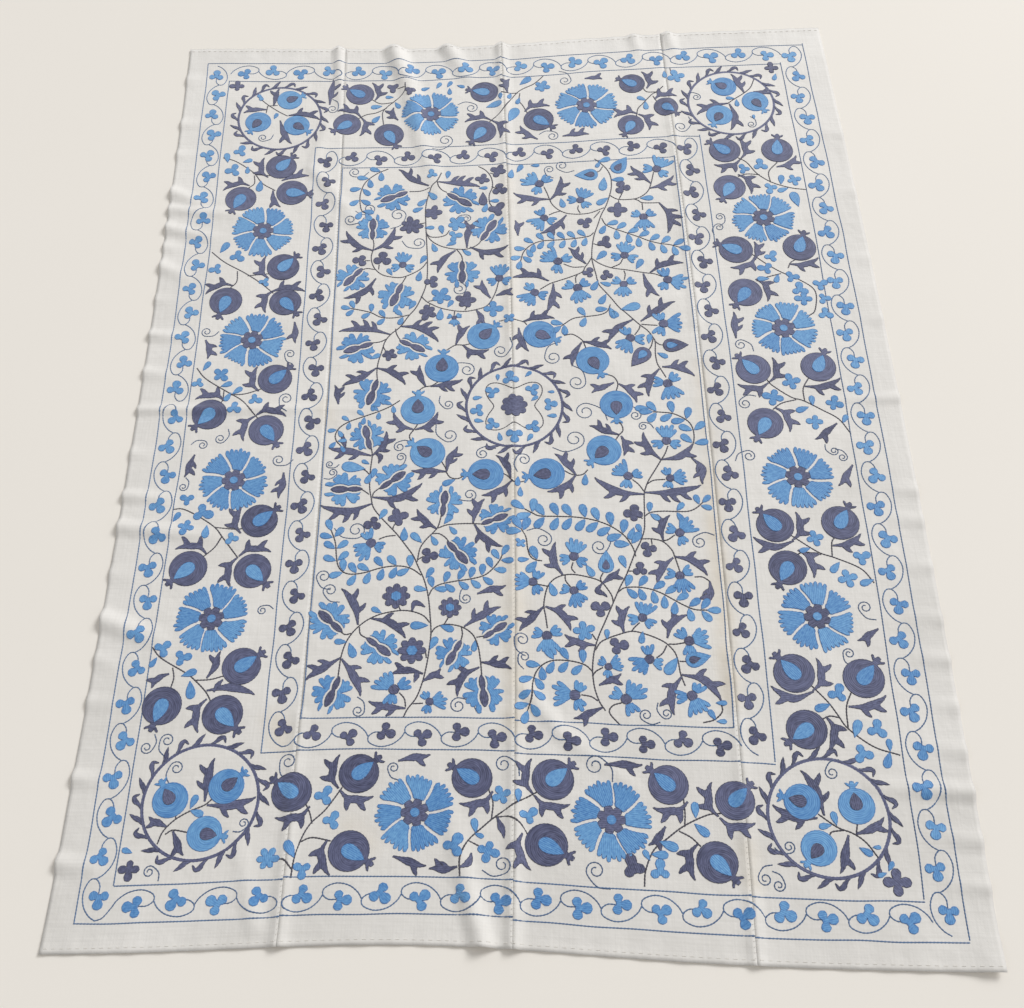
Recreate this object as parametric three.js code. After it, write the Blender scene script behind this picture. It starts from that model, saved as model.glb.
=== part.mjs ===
// A suzani: a large embroidered cotton cloth, laid out on a floor with the folds it fell into.
// Four narrow strips of cloth are sewn side by side into one sheet. Each strip is one thin solid.
// Millimetres, +Z up. The origin is on the floor under the middle of the cloth, +Y runs along its
// length to the far end and +X across its width to the right.
import * as THREE from "three";
import { mergeVertices } from "three/addons/utils/BufferGeometryUtils.js";

// Driving dimensions of the flat cloth
const CLOTH_WIDTH = 1600;
const CLOTH_LENGTH = 2190;
const CLOTH_THICKNESS = 1.6;
const SEAM_GAP = 0.3;
const SEAMS_AT = [-392, 5, 405];

// How far the cloth lies out of true on the floor: it leans to one side towards the far end, is a
// little narrower there, and its middle bows to the right.
const LEAN = -0.0357;
const NARROWING = 0.0165;
const BOW = 16;

const HALF_WIDTH = CLOTH_WIDTH / 2;
const HALF_LENGTH = CLOTH_LENGTH / 2;
const FAR_END = HALF_LENGTH;
const NEAR_END = -HALF_LENGTH;
const [FIRST_SEAM, MIDDLE_SEAM, THIRD_SEAM] = SEAMS_AT;

// The strips were not cut to one length: the cloth is shortest near its second strip, where each
// end is drawn in most, and longer again towards both sides.
const DRAWN_IN = { most: 28, at: -170, spread: 420 };

// Ripples of the loose left side: where each one leaves the edge, how far it reaches into the
// cloth, how far it slants towards the far end on the way, its rise at the edge and the half width
// of its foot.
const LEFT_RIPPLES = [
  { v: 985, reach: 40, slant: -6, rise: 4, half: 28 },
  { v: 835, reach: 50, slant: -4, rise: 5, half: 26 },
  { v: 735, reach: 40, slant: -6, rise: 4, half: 26 },
  { v: 615, reach: 70, slant: -36, rise: 10, half: 28 },
  { v: 560, reach: 185, slant: -18, rise: 8, half: 24 },
  { v: 505, reach: 110, slant: -30, rise: 10, half: 26 },
  { v: 450, reach: 50, slant: -14, rise: 5, half: 22 },
  { v: 392, reach: 60, slant: -30, rise: 9, half: 28 },
  { v: 298, reach: 40, slant: -8, rise: 4, half: 26 },
  { v: 200, reach: 80, slant: -8, rise: 9, half: 22 },
  { v: 100, reach: 65, slant: -8, rise: 7, half: 24 },
  { v: 4, reach: 470, slant: -4, rise: 7, half: 18 },
  { v: -104, reach: 40, slant: -5, rise: 4, half: 24 },
  { v: -205, reach: 95, slant: -7, rise: 9, half: 22 },
  { v: -276, reach: 205, slant: -26, rise: 10, half: 26 },
  { v: -380, reach: 40, slant: -8, rise: 4, half: 26 },
  { v: -478, reach: 115, slant: -44, rise: 13, half: 32 },
  { v: -560, reach: 40, slant: -10, rise: 4, half: 22 },
  { v: -645, reach: 50, slant: -6, rise: 5, half: 24 },
  { v: -790, reach: 60, slant: -6, rise: 8, half: 24 },
  { v: -942, reach: 65, slant: -8, rise: 10, half: 26 },
];

// Ripples of the right side, tighter and lower.
const RIGHT_RIPPLES = [
  { v: 740, reach: 50, slant: 4, rise: 3, half: 26 },
  { v: 560, reach: 40, slant: 4, rise: 3, half: 26 },
  { v: 370, reach: 40, slant: 4, rise: 3, half: 26 },
  { v: 208, reach: 45, slant: 4, rise: 4, half: 24 },
  { v: 8, reach: 120, slant: -2, rise: 6, half: 20 },
  { v: -208, reach: 50, slant: 4, rise: 5, half: 24 },
  { v: -275, reach: 70, slant: 6, rise: 5, half: 24 },
  { v: -372, reach: 45, slant: 4, rise: 4, half: 24 },
  { v: -480, reach: 60, slant: 6, rise: 5, half: 24 },
  { v: -560, reach: 60, slant: 6, rise: 6, half: 24 },
  { v: -648, reach: 45, slant: 4, rise: 5, half: 24 },
  { v: -730, reach: 60, slant: 6, rise: 6, half: 24 },
  { v: -802, reach: 170, slant: 8, rise: 10, half: 24 },
  { v: -885, reach: 60, slant: 4, rise: 7, half: 24 },
  { v: -962, reach: 60, slant: 4, rise: 6, half: 22 },
];

// Folds that run down the cloth: each row is one straight stretch of a crest, from (u0, v0) with
// rise h0 to (u1, v1) with rise h1, and the half width of its foot.
const LONG_FOLDS = [
  // the ridge over the first seam at the far end
  { u0: -410, v0: FAR_END, u1: -398, v1: 880, h0: 12, h1: 3, half: 22 },
  // the longest fold, slanting down the second strip from the far end
  { u0: -268, v0: FAR_END, u1: -228, v1: 950, h0: 17, h1: 11, half: 38 },
  { u0: -228, v0: 950, u1: -200, v1: 780, h0: 11, h1: 7, half: 36 },
  { u0: -200, v0: 780, u1: -140, v1: 540, h0: 7, h1: 2, half: 34 },
  // a shorter fold beside it
  { u0: -130, v0: FAR_END, u1: -84, v1: 985, h0: 14, h1: 4, half: 34 },
  // slanting folds at the head of the first seam
  { u0: -430, v0: 830, u1: -462, v1: 690, h0: 3, h1: 5, half: 26 },
  { u0: -462, v0: 690, u1: -350, v1: 520, h0: 6, h1: 3, half: 28 },
  // the raised middle seam
  { u0: MIDDLE_SEAM, v0: FAR_END, u1: MIDDLE_SEAM, v1: 860, h0: 10, h1: 4, half: 22 },
  { u0: MIDDLE_SEAM, v0: 860, u1: MIDDLE_SEAM, v1: -620, h0: 4, h1: 4, half: 22 },
  { u0: MIDDLE_SEAM, v0: -620, u1: MIDDLE_SEAM, v1: NEAR_END, h0: 4, h1: 9, half: 22 },
  // small folds of the far end on the right
  { u0: 338, v0: FAR_END, u1: 346, v1: 1030, h0: 7, h1: 2, half: 24 },
  { u0: 424, v0: FAR_END, u1: 436, v1: 1020, h0: 8, h1: 2, half: 24 },
  // the raised third seam
  { u0: THIRD_SEAM, v0: 860, u1: THIRD_SEAM, v1: 200, h0: 4, h1: 3, half: 20 },
  { u0: THIRD_SEAM, v0: -560, u1: THIRD_SEAM, v1: NEAR_END, h0: 3, h1: 5, half: 20 },
  // the fold beside the middle seam at the near end, and a slanting one above it
  { u0: -46, v0: NEAR_END, u1: -76, v1: -990, h0: 15, h1: 8, half: 30 },
  { u0: -76, v0: -990, u1: -112, v1: -860, h0: 8, h1: 2, half: 30 },
  { u0: 24, v0: -630, u1: 92, v1: -716, h0: 6, h1: 5, half: 26 },
  { u0: 92, v0: -716, u1: 205, v1: -795, h0: 5, h1: 2, half: 26 },
  // folds beside the first seam at the near end
  { u0: FIRST_SEAM, v0: -680, u1: FIRST_SEAM, v1: NEAR_END, h0: 3, h1: 7, half: 22 },
  { u0: -436, v0: -1060, u1: -486, v1: -900, h0: 5, h1: 2, half: 26 },
];

// The right near corner curls up off the floor.
const CURLED_CORNER = { u: HALF_WIDTH, v: NEAR_END, rise: 9, reach: 95 };

// Grid of each strip: the outer strips have many rows for their ripples and columns that crowd
// towards the side, the inner ones many columns for the long folds.
const STRIPS = [
  { name: "strip_1", columns: 7, rows: 96, crowdTo: -1 },
  { name: "strip_2", columns: 20, rows: 44, crowdTo: 0 },
  { name: "strip_3", columns: 20, rows: 44, crowdTo: 0 },
  { name: "strip_4", columns: 7, rows: 96, crowdTo: 1 },
];
const CROWDING = 1.7;

// Off-white cotton with a dull, dry surface
const COTTON = { color: 0xe8e5df, roughness: 0.95, metalness: 0 };

// A ripple of one side as a straight crest from that side's edge into the cloth, where it has sunk
// to a small share of its rise.
const RIPPLE_END = 0.25;
function crestOfRipple(ripple, side) {
  return {
    u0: side * HALF_WIDTH,
    v0: ripple.v,
    u1: side * (HALF_WIDTH - ripple.reach),
    v1: ripple.v + ripple.slant,
    h0: ripple.rise,
    h1: ripple.rise * RIPPLE_END,
    half: ripple.half,
  };
}

const FOLDS = [
  ...LEFT_RIPPLES.map((ripple) => crestOfRipple(ripple, -1)),
  ...RIGHT_RIPPLES.map((ripple) => crestOfRipple(ripple, 1)),
  ...LONG_FOLDS,
];

// A soft hump: 1 on the crest, 0 from the foot outwards.
function hump(offset, half) {
  return offset < half ? Math.cos((Math.PI / 2) * (offset / half)) ** 2 : 0;
}

// Height that one fold gives the cloth at the flat place (u, v).
function foldHeight(fold, u, v) {
  const du = fold.u1 - fold.u0;
  const dv = fold.v1 - fold.v0;
  const share = ((u - fold.u0) * du + (v - fold.v0) * dv) / (du * du + dv * dv);
  const along = THREE.MathUtils.clamp(share, 0, 1);
  const offset = Math.hypot(u - fold.u0 - along * du, v - fold.v0 - along * dv);
  return THREE.MathUtils.lerp(fold.h0, fold.h1, along) * hump(offset, fold.half);
}

function cornerHeight(u, v) {
  const offset = Math.hypot(u - CURLED_CORNER.u, v - CURLED_CORNER.v);
  return CURLED_CORNER.rise * hump(offset, CURLED_CORNER.reach);
}

// Height of the underside above the floor. Where folds meet, the higher one carries the cloth.
function liftAt(u, v) {
  return Math.max(cornerHeight(u, v), ...FOLDS.map((fold) => foldHeight(fold, u, v)));
}

// How much shorter than its sides each end of the cloth is at u.
function drawnInAt(u) {
  return DRAWN_IN.most * Math.exp(-(((u - DRAWN_IN.at) / DRAWN_IN.spread) ** 2));
}

// Sideways place on the floor of the flat place (u, v), before the cloth is centred.
function leanedX(u, v) {
  const far = v / HALF_LENGTH;
  return u * (1 - (NARROWING / 2) * far) + LEAN * v + BOW * (1 - far * far);
}

// The far left and near right corners reach furthest sideways: the middle between them is x = 0.
const SIDEWAYS_MIDDLE =
  (leanedX(-HALF_WIDTH, HALF_LENGTH) + leanedX(HALF_WIDTH, -HALF_LENGTH)) / 2;

// Where the flat place (u, v) lies on the floor.
function layDown(u, v) {
  const x = leanedX(u, v) - SIDEWAYS_MIDDLE;
  const y = v * (1 - drawnInAt(u) / HALF_LENGTH);
  return new THREE.Vector3(x, y, liftAt(u, v));
}

// Spreads even steps from -1 to 1 so that they crowd towards one side of the strip, or neither.
function crowded(step, towards) {
  if (towards === 0) return step;
  return towards * (1 - 2 * ((1 - towards * step) / 2) ** CROWDING);
}

// One strip between two flat sides, bent to lie as the cloth does.
function stripGeometry(left, right, strip) {
  const width = right - left;
  const flat = new THREE.BoxGeometry(2, CLOTH_LENGTH, CLOTH_THICKNESS, strip.columns, strip.rows, 1);
  const places = flat.getAttribute("position");
  for (let i = 0; i < places.count; i += 1) {
    const step = crowded(places.getX(i), strip.crowdTo);
    const u = left + (width * (1 + step)) / 2;
    const place = layDown(u, places.getY(i));
    place.z += places.getZ(i) + CLOTH_THICKNESS / 2;
    places.setXYZ(i, place.x, place.y, place.z);
  }
  flat.deleteAttribute("normal");
  flat.deleteAttribute("uv");
  const closed = mergeVertices(flat);
  closed.computeVertexNormals();
  return closed;
}

const suzani = new THREE.Group();
const cotton = new THREE.MeshStandardMaterial(COTTON);
const sides = [-HALF_WIDTH, ...SEAMS_AT, HALF_WIDTH];
STRIPS.forEach((strip, i) => {
  const left = sides[i] + (i > 0 ? SEAM_GAP / 2 : 0);
  const right = sides[i + 1] - (i < STRIPS.length - 1 ? SEAM_GAP / 2 : 0);
  const mesh = new THREE.Mesh(stripGeometry(left, right, strip), cotton);
  mesh.name = strip.name;
  suzani.add(mesh);
});

export default suzani;
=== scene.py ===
# A suzani: a large cotton cloth of four joined strips, embroidered in blue and indigo thread with
# pomegranates, rosettes and flowering branches, and spread out on a pale floor.
# A place on the flat cloth is (u, v) in millimetres from its middle, u to the right and v to the
# far end. Headings are in degrees, counted from u towards v. The frame itself is in metres.
import math
import random

import bmesh
import bpy
import numpy as np
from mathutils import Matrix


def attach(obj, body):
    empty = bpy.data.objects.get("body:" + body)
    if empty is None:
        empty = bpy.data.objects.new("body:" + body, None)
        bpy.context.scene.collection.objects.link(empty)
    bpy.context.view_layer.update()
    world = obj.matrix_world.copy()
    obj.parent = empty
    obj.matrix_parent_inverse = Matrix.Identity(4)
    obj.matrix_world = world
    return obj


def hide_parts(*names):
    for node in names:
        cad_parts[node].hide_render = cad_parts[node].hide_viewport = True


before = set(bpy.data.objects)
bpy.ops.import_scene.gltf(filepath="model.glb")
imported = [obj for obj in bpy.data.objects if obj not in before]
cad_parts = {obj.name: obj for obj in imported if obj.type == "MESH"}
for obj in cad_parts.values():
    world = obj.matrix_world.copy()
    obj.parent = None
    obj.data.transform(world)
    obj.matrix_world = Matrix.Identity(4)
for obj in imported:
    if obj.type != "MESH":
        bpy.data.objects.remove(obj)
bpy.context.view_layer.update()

# The view
# The camera stands above the near end and looks down the length of the cloth. The floor is plain
# and pale, and the light is soft and comes from the far right, so folds shade to the left.
CAMERA_AT = (0.1716, -1.3271, 2.1027)
CAMERA_TURN = (27.608, 3.522, 1.321)
LENS_MM = 41.68
SENSOR_MM = 36.0
FLOOR_HALF = 9.0
FLOOR_BELOW = 0.0002
FLOOR_LIGHT, FLOOR_DARK, FLOOR_CLOUDS = "#f5f0e9", "#f2ede5", 1.3
KEY_FROM = (1.0, 0.9, 0.95)
KEY_ANGLE = 24
KEY_STRENGTH = 1.8
WINDOW_AT = (2.8, 3.2, 3.0)
WINDOW_SIZE = 2.5
WINDOW_WATTS = 34
ROOM_COLOUR, ROOM_LIGHT = "#fbfaf8", 0.515


def linear(code):
    """Linear colour, with alpha, of an sRGB hex value."""
    shares = [int(code[i:i + 2], 16) / 255 for i in (1, 3, 5)]
    return [s / 12.92 if s <= 0.04045 else ((s + 0.055) / 1.055) ** 2.4 for s in shares] + [1.0]


def add_node(tree, kind, inputs=None, **settings):
    """Adds a node, sets it up and fills its inputs with values or with other nodes' outputs."""
    node = tree.nodes.new(kind)
    for name, value in settings.items():
        setattr(node, name, value)
    for socket, value in (inputs or {}).items():
        if isinstance(value, bpy.types.NodeSocket):
            tree.links.new(value, node.inputs[socket])
        else:
            node.inputs[socket].default_value = value
    return node


def new_material(name):
    """An empty node material and its tree."""
    material = bpy.data.materials.new(name)
    material.use_nodes = True
    material.node_tree.nodes.clear()
    return material, material.node_tree


camera_data = bpy.data.cameras.new("photo_view")
camera_data.lens = LENS_MM
camera_data.sensor_width = SENSOR_MM
camera = bpy.data.objects.new("photo_view", camera_data)
camera.location = CAMERA_AT
camera.rotation_euler = [math.radians(turn) for turn in CAMERA_TURN]
bpy.context.collection.objects.link(camera)
bpy.context.scene.camera = camera
bpy.context.scene.view_settings.view_transform = "Standard"

# Painted floor: matt and even, with a very faint cloudiness, a little over one cloud to the metre.
floor_paint, tree = new_material("painted_floor")
place = add_node(tree, "ShaderNodeTexCoord")
cloud = add_node(tree, "ShaderNodeTexNoise", {"Vector": place.outputs["Object"],
                                              "Scale": FLOOR_CLOUDS})
tint = add_node(tree, "ShaderNodeMix", {"Factor": cloud.outputs["Fac"], "A": linear(FLOOR_DARK),
                                        "B": linear(FLOOR_LIGHT)}, data_type="RGBA")
paint = add_node(tree, "ShaderNodeBsdfPrincipled", {"Base Color": tint.outputs["Result"],
                                                    "Roughness": 0.9})
add_node(tree, "ShaderNodeOutputMaterial", {"Surface": paint.outputs["BSDF"]})
ground = bmesh.new()
bmesh.ops.create_grid(ground, x_segments=1, y_segments=1, size=FLOOR_HALF)
bmesh.ops.translate(ground, verts=ground.verts[:], vec=(0, 0, -FLOOR_BELOW))
floor_mesh = bpy.data.meshes.new("floor")
ground.to_mesh(floor_mesh)
ground.free()
floor_mesh.materials.append(floor_paint)
floor = bpy.data.objects.new("floor", floor_mesh)
bpy.context.collection.objects.link(floor)


def add_light(name, kind, place, energy):
    """Adds a light that points at the middle of the cloth."""
    data = bpy.data.lights.new(name, kind)
    data.energy = energy
    light = bpy.data.objects.new(name, data)
    light.location = place
    light.rotation_euler = (-light.location).to_track_quat("-Z", "Y").to_euler()
    bpy.context.collection.objects.link(light)
    return data


add_light("key_light", "SUN", KEY_FROM, KEY_STRENGTH).angle = math.radians(KEY_ANGLE)
add_light("window_light", "AREA", WINDOW_AT, WINDOW_WATTS).size = WINDOW_SIZE
world = bpy.data.worlds.new("soft_room")
world.use_nodes = True
room = world.node_tree.nodes["Background"]
room.inputs["Color"].default_value = linear(ROOM_COLOUR)
room.inputs["Strength"].default_value = ROOM_LIGHT
bpy.context.scene.world = world

# The cotton strips
# Four lengths of hand-loomed plain-weave cotton, washed soft, lie side by side and make the ground
# of the cloth. The long sides are selvedges and the ends are turned under in a narrow hem. The
# cloth was folded away and lies as it fell, with ripples along its sides and folds at its ends.
HALF_WIDTH = 800
HALF_LENGTH = 1095
SEAMS_AT = (-392, 5, 405)
SEAM_GAP = 0.3
SHEET = 1.2
CELL = 7.0
LEAN = -0.0357
NARROWING = 0.0165
BOW = 16
DRAWN_IN, DRAWN_IN_AT, DRAWN_IN_SPREAD = 28, -170, 420
RIPPLE_END = 0.25
HEM, HEM_RISE, HEM_STEP = 11, 0.7, 2
# The last of these is painted light: how much lighter the cloth is painted towards the far end, standing in
# for sheen and the light from the far side.
COTTON_LIGHT, COTTON_DARK, COTTON_FAR_LIGHT = "#f6f3ef", "#d6d3ce", 0.2
# Colour of the marks that are partly stains and partly painted crease shade.
COTTON_STAIN_AND_SHADE = "#d9c9ad"

# Ripples of both sides: v at the edge, reach into the cloth, slant, rise, half width of the foot
LEFT_RIPPLES = [
    (985, 40, -6, 4, 28), (835, 50, -4, 5, 26), (735, 40, -6, 4, 26), (615, 70, -36, 10, 28),
    (560, 185, -18, 8, 24), (505, 110, -30, 10, 26), (450, 50, -14, 5, 22), (392, 60, -30, 9, 28),
    (298, 40, -8, 4, 26), (200, 80, -8, 9, 22), (100, 65, -8, 7, 24), (4, 470, -4, 7, 18),
    (-104, 40, -5, 4, 24), (-205, 95, -7, 9, 22), (-276, 205, -26, 10, 26), (-380, 40, -8, 4, 26),
    (-478, 115, -44, 13, 32), (-560, 40, -10, 4, 22), (-645, 50, -6, 5, 24), (-790, 60, -6, 8, 24),
    (-942, 65, -8, 10, 26),
]
RIGHT_RIPPLES = [
    (740, 50, 4, 3, 26), (560, 40, 4, 3, 26), (370, 40, 4, 3, 26), (208, 45, 4, 4, 24),
    (8, 120, -2, 6, 20), (-208, 50, 4, 5, 24), (-275, 70, 6, 5, 24), (-372, 45, 4, 4, 24),
    (-480, 60, 6, 5, 24), (-560, 60, 6, 6, 24), (-648, 45, 4, 5, 24), (-730, 60, 6, 6, 24),
    (-802, 170, 8, 10, 24), (-885, 60, 4, 7, 24), (-962, 60, 4, 6, 22),
]
# Folds down the cloth, in straight stretches of crest: u and v of the start, u and v of the end,
# rise at the start and at the end, half width of the foot
LONG_FOLDS = [
    (-410, 1095, -398, 880, 12, 3, 22), (-268, 1095, -228, 950, 17, 11, 38),
    (-228, 950, -200, 780, 11, 7, 36), (-200, 780, -140, 540, 7, 2, 34),
    (-130, 1095, -84, 985, 14, 4, 34), (-430, 830, -462, 690, 3, 5, 26),
    (-462, 690, -350, 520, 6, 3, 28), (5, 1095, 5, 860, 10, 4, 22), (5, 860, 5, -620, 4, 4, 22),
    (5, -620, 5, -1095, 4, 9, 22), (338, 1095, 346, 1030, 7, 2, 24), (424, 1095, 436, 1020, 8, 2, 24),
    (405, 860, 405, 200, 4, 3, 20), (405, -560, 405, -1095, 3, 5, 20),
    (-46, -1095, -76, -990, 15, 8, 30), (-76, -990, -112, -860, 8, 2, 30),
    (24, -630, 92, -716, 6, 5, 26), (92, -716, 205, -795, 5, 2, 26),
    (-392, -680, -392, -1095, 3, 7, 22), (-436, -1060, -486, -900, 5, 2, 26),
]
# Lifted corner: u, v, rise, reach
CURLED_CORNER = (HALF_WIDTH, -HALF_LENGTH, 9, 95)
# Shallow waves left by old folding: wave length, direction, height
OLD_WAVES = [(310, 12, 0.5), (230, 97, 0.45), (170, 64, 0.35), (145, 141, 0.35), (118, 28, 0.25)]
# Faint yellow marks, most of them by the seams, partly stains and partly painted crease shade: u and v of
# the start, u and v of the end, half width, strength
STAINS_AND_SHADE = [
    (5, 640, 5, 200, 34, 0.3), (5, -180, 5, -700, 50, 0.55), (401, 100, 399, -160, 28, 0.4),
    (399, -160, 398, -640, 36, 0.75), (70, -185, 120, -195, 44, 0.35), (-395, 10, -380, -20, 34, 0.4),
    (-440, -690, -420, -735, 44, 0.45), (-300, -880, -250, -920, 48, 0.35), (405, -900, 410, -960, 38, 0.4),
]
# Puckers along the sewing: rise, pitch, reach to the sides, unevenness of the pitch and its length
SEAM_PUCKERS = (0.9, 46, 26, 2.2, 83)
HEM_PUCKERS = (1.2, 58, 34, 2.5, 131)

FOLDS = [(side * HALF_WIDTH, v, side * (HALF_WIDTH - reach), v + slant, rise, rise * RIPPLE_END, half)
         for side, ripples in ((-1, LEFT_RIPPLES), (1, RIGHT_RIPPLES))
         for v, reach, slant, rise, half in ripples] + LONG_FOLDS


def hump(offset, half):
    """1 on a crest, 0 from the foot outwards."""
    return np.cos(np.pi / 2 * np.minimum(offset / half, 1)) ** 2


def beside(u, v, u0, v0, u1, v1):
    """Share along a straight stretch, and distance from it, of the flat places (u, v)."""
    du, dv = u1 - u0, v1 - v0
    along = np.clip(((u - u0) * du + (v - v0) * dv) / (du * du + dv * dv), 0, 1)
    return along, np.hypot(u - u0 - along * du, v - v0 - along * dv)


def pucker(along, offset, sizes, start=0):
    """Rise of the uneven gathers along a line of sewing."""
    rise, pitch, reach, uneven, length = sizes
    gather = np.sin(2 * np.pi * along / pitch + uneven * np.sin(along / length + start))
    return rise * (1 + gather) / 2 * np.exp(-(offset / reach) ** 2)


def lift_at(u, v):
    """Height of the cloth's underside above the floor at the flat places (u, v)."""
    corner_u, corner_v, rise, reach = CURLED_CORNER
    lift = rise * hump(np.hypot(u - corner_u, v - corner_v), reach)
    for u0, v0, u1, v1, h0, h1, half in FOLDS:
        near = (np.abs(u - (u0 + u1) / 2) < abs(u1 - u0) / 2 + half)
        near &= (np.abs(v - (v0 + v1) / 2) < abs(v1 - v0) / 2 + half)
        along, offset = beside(u[near], v[near], u0, v0, u1, v1)
        lift[near] = np.maximum(lift[near], (h0 + (h1 - h0) * along) * hump(offset, half))
    for length, direction, height in OLD_WAVES:
        turn = math.radians(direction)
        phase = 2 * np.pi * (u * math.cos(turn) + v * math.sin(turn)) / length
        lift += height * (1 + np.sin(phase + direction)) / 2
    for seam in SEAMS_AT:
        lift += pucker(v, u - seam, SEAM_PUCKERS, seam)
    lift += pucker(u, HALF_LENGTH - np.abs(v), HEM_PUCKERS)
    return lift


def leaned_x(u, v):
    """Sideways place on the floor before the cloth is centred."""
    far = v / HALF_LENGTH
    return u * (1 - NARROWING / 2 * far) + LEAN * v + BOW * (1 - far * far)


SIDEWAYS_MIDDLE = (leaned_x(-HALF_WIDTH, HALF_LENGTH) + leaned_x(HALF_WIDTH, -HALF_LENGTH)) / 2


def lay_down(flat):
    """Places in the frame of points given as flat u, flat v and height over the cloth's face."""
    u, v, above = flat.T
    drawn = DRAWN_IN * np.exp(-((u - DRAWN_IN_AT) / DRAWN_IN_SPREAD) ** 2)
    hem = HEM_RISE * np.clip((np.abs(v) - HALF_LENGTH + HEM) / HEM_STEP, 0, 1)
    x = leaned_x(u, v) - SIDEWAYS_MIDDLE
    y = v * (1 - drawn / HALF_LENGTH)
    return np.stack([x, y, lift_at(u, v) + SHEET + hem + above], axis=1) / 1000


def lay_mesh(mesh, flat, pattern_name, pattern):
    """Lays a mesh on the cloth and keeps its flat pattern places as an attribute."""
    mesh.vertices.foreach_set("co", lay_down(flat).ravel())
    layer = mesh.attributes.new(pattern_name, "FLOAT_VECTOR", "POINT")
    layer.data.foreach_set("vector", pattern.ravel())
    mesh.shade_smooth()
    mesh.update()


def add_piece(name, mesh, material):
    """Makes a piece of a finished mesh that lies with the cloth."""
    mesh.materials.append(material)
    piece = bpy.data.objects.new(name, mesh)
    bpy.context.collection.objects.link(piece)
    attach(piece, "root")
    return piece


# Hand-loomed cotton: dull, dry and off-white, with thicker yarns that show as faint long streaks
# both ways, with the soft clouding of old washed cloth, and with blotchy marks that are partly stains
# and partly painted crease shade. The colour is painted lighter towards the far end, as painted sheen
# and light from the far side. The yarns lie 0.7 mm apart and are drawn 2.2 mm apart so that the weave
# shows.
YARN_PITCH = 2.2
SLUB_WIDTH, SLUB_LENGTH = 4, 150
CLOUD, CREASE, BLOT = 190, 34, 45
DARKEST_TONE, LIGHTEST_TONE = 0.15, 1.35
cotton, tree = new_material("hand_loomed_cotton")
flat_place = add_node(tree, "ShaderNodeAttribute", attribute_name="flat")
streaks = []
for across, along in ((SLUB_WIDTH, SLUB_LENGTH), (SLUB_LENGTH, SLUB_WIDTH)):
    size = add_node(tree, "ShaderNodeMapping", {"Vector": flat_place.outputs["Vector"],
                                                "Scale": (1 / across, 1 / along, 1)})
    streaks.append(add_node(tree, "ShaderNodeTexNoise", {"Vector": size.outputs["Vector"],
                                                         "Scale": 1.0, "Detail": 3.0}))
slubs = add_node(tree, "ShaderNodeMath", {0: streaks[0].outputs["Fac"], 1: streaks[1].outputs["Fac"]},
                 operation="MULTIPLY")
clouds = add_node(tree, "ShaderNodeTexNoise", {"Vector": flat_place.outputs["Vector"],
                                               "Scale": 1 / CLOUD, "Detail": 4.0})
tone = add_node(tree, "ShaderNodeMath", {0: slubs.outputs["Value"], 1: clouds.outputs["Fac"]},
                operation="ADD")
# Painted light: the tone is raised towards the far end, so the far end of the cloth is painted lighter as
# if lit more and seen with more sheen.
flat_parts = add_node(tree, "ShaderNodeSeparateXYZ", {"Vector": flat_place.outputs["Vector"]})
far_lit_tone = add_node(tree, "ShaderNodeMath", {0: flat_parts.outputs["Y"], 1: COTTON_FAR_LIGHT / HALF_LENGTH,
                                          2: tone.outputs["Value"]}, operation="MULTIPLY_ADD")
shade = add_node(tree, "ShaderNodeMapRange", {"Value": far_lit_tone.outputs["Value"],
                                              "From Min": DARKEST_TONE, "From Max": LIGHTEST_TONE})
colour = add_node(tree, "ShaderNodeMix", {"Factor": shade.outputs["Result"], "A": linear(COTTON_DARK),
                                          "B": linear(COTTON_LIGHT)}, data_type="RGBA")
# Stains and painted shade: the marks along the seams mix towards a beige that is partly stain and partly
# painted crease shade.
stain_and_shade = add_node(tree, "ShaderNodeAttribute", attribute_name="stain_and_shade")
blots = add_node(tree, "ShaderNodeTexNoise", {"Vector": flat_place.outputs["Vector"],
                                              "Scale": 1 / BLOT, "Detail": 3.0})
blotched = add_node(tree, "ShaderNodeMath", {0: stain_and_shade.outputs["Fac"], 1: blots.outputs["Fac"]},
                    operation="MULTIPLY")
colour = add_node(tree, "ShaderNodeMix", {"Factor": blotched.outputs["Value"],
                                          "A": colour.outputs["Result"], "B": linear(COTTON_STAIN_AND_SHADE)},
                  data_type="RGBA")
yarn_size = add_node(tree, "ShaderNodeMapping", {"Vector": flat_place.outputs["Vector"],
                                                 "Scale": (1 / YARN_PITCH, 1 / YARN_PITCH, 1)})
weave = add_node(tree, "ShaderNodeTexChecker", {"Vector": yarn_size.outputs["Vector"], "Scale": 1.0,
                                                "Color1": (1, 1, 1, 1), "Color2": (0, 0, 0, 1)})
creases = add_node(tree, "ShaderNodeTexNoise", {"Vector": flat_place.outputs["Vector"],
                                                "Scale": 1 / CREASE, "Detail": 3.0})
yarn_bump = add_node(tree, "ShaderNodeBump", {"Height": weave.outputs["Color"], "Strength": 0.25,
                                              "Distance": 0.0003})
slub_bump = add_node(tree, "ShaderNodeBump", {"Height": slubs.outputs["Value"], "Strength": 0.5,
                                              "Distance": 0.0009, "Normal": yarn_bump.outputs["Normal"]})
crease_bump = add_node(tree, "ShaderNodeBump", {"Height": creases.outputs["Fac"], "Strength": 0.5,
                                                "Distance": 0.004,
                                                "Normal": slub_bump.outputs["Normal"]})
cloth_shader = add_node(tree, "ShaderNodeBsdfPrincipled", {
    "Base Color": colour.outputs["Result"], "Roughness": 0.8, "IOR": 1.5, "Sheen Weight": 0.6,
    "Normal": crease_bump.outputs["Normal"]})
add_node(tree, "ShaderNodeOutputMaterial", {"Surface": cloth_shader.outputs["BSDF"]})

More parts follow.
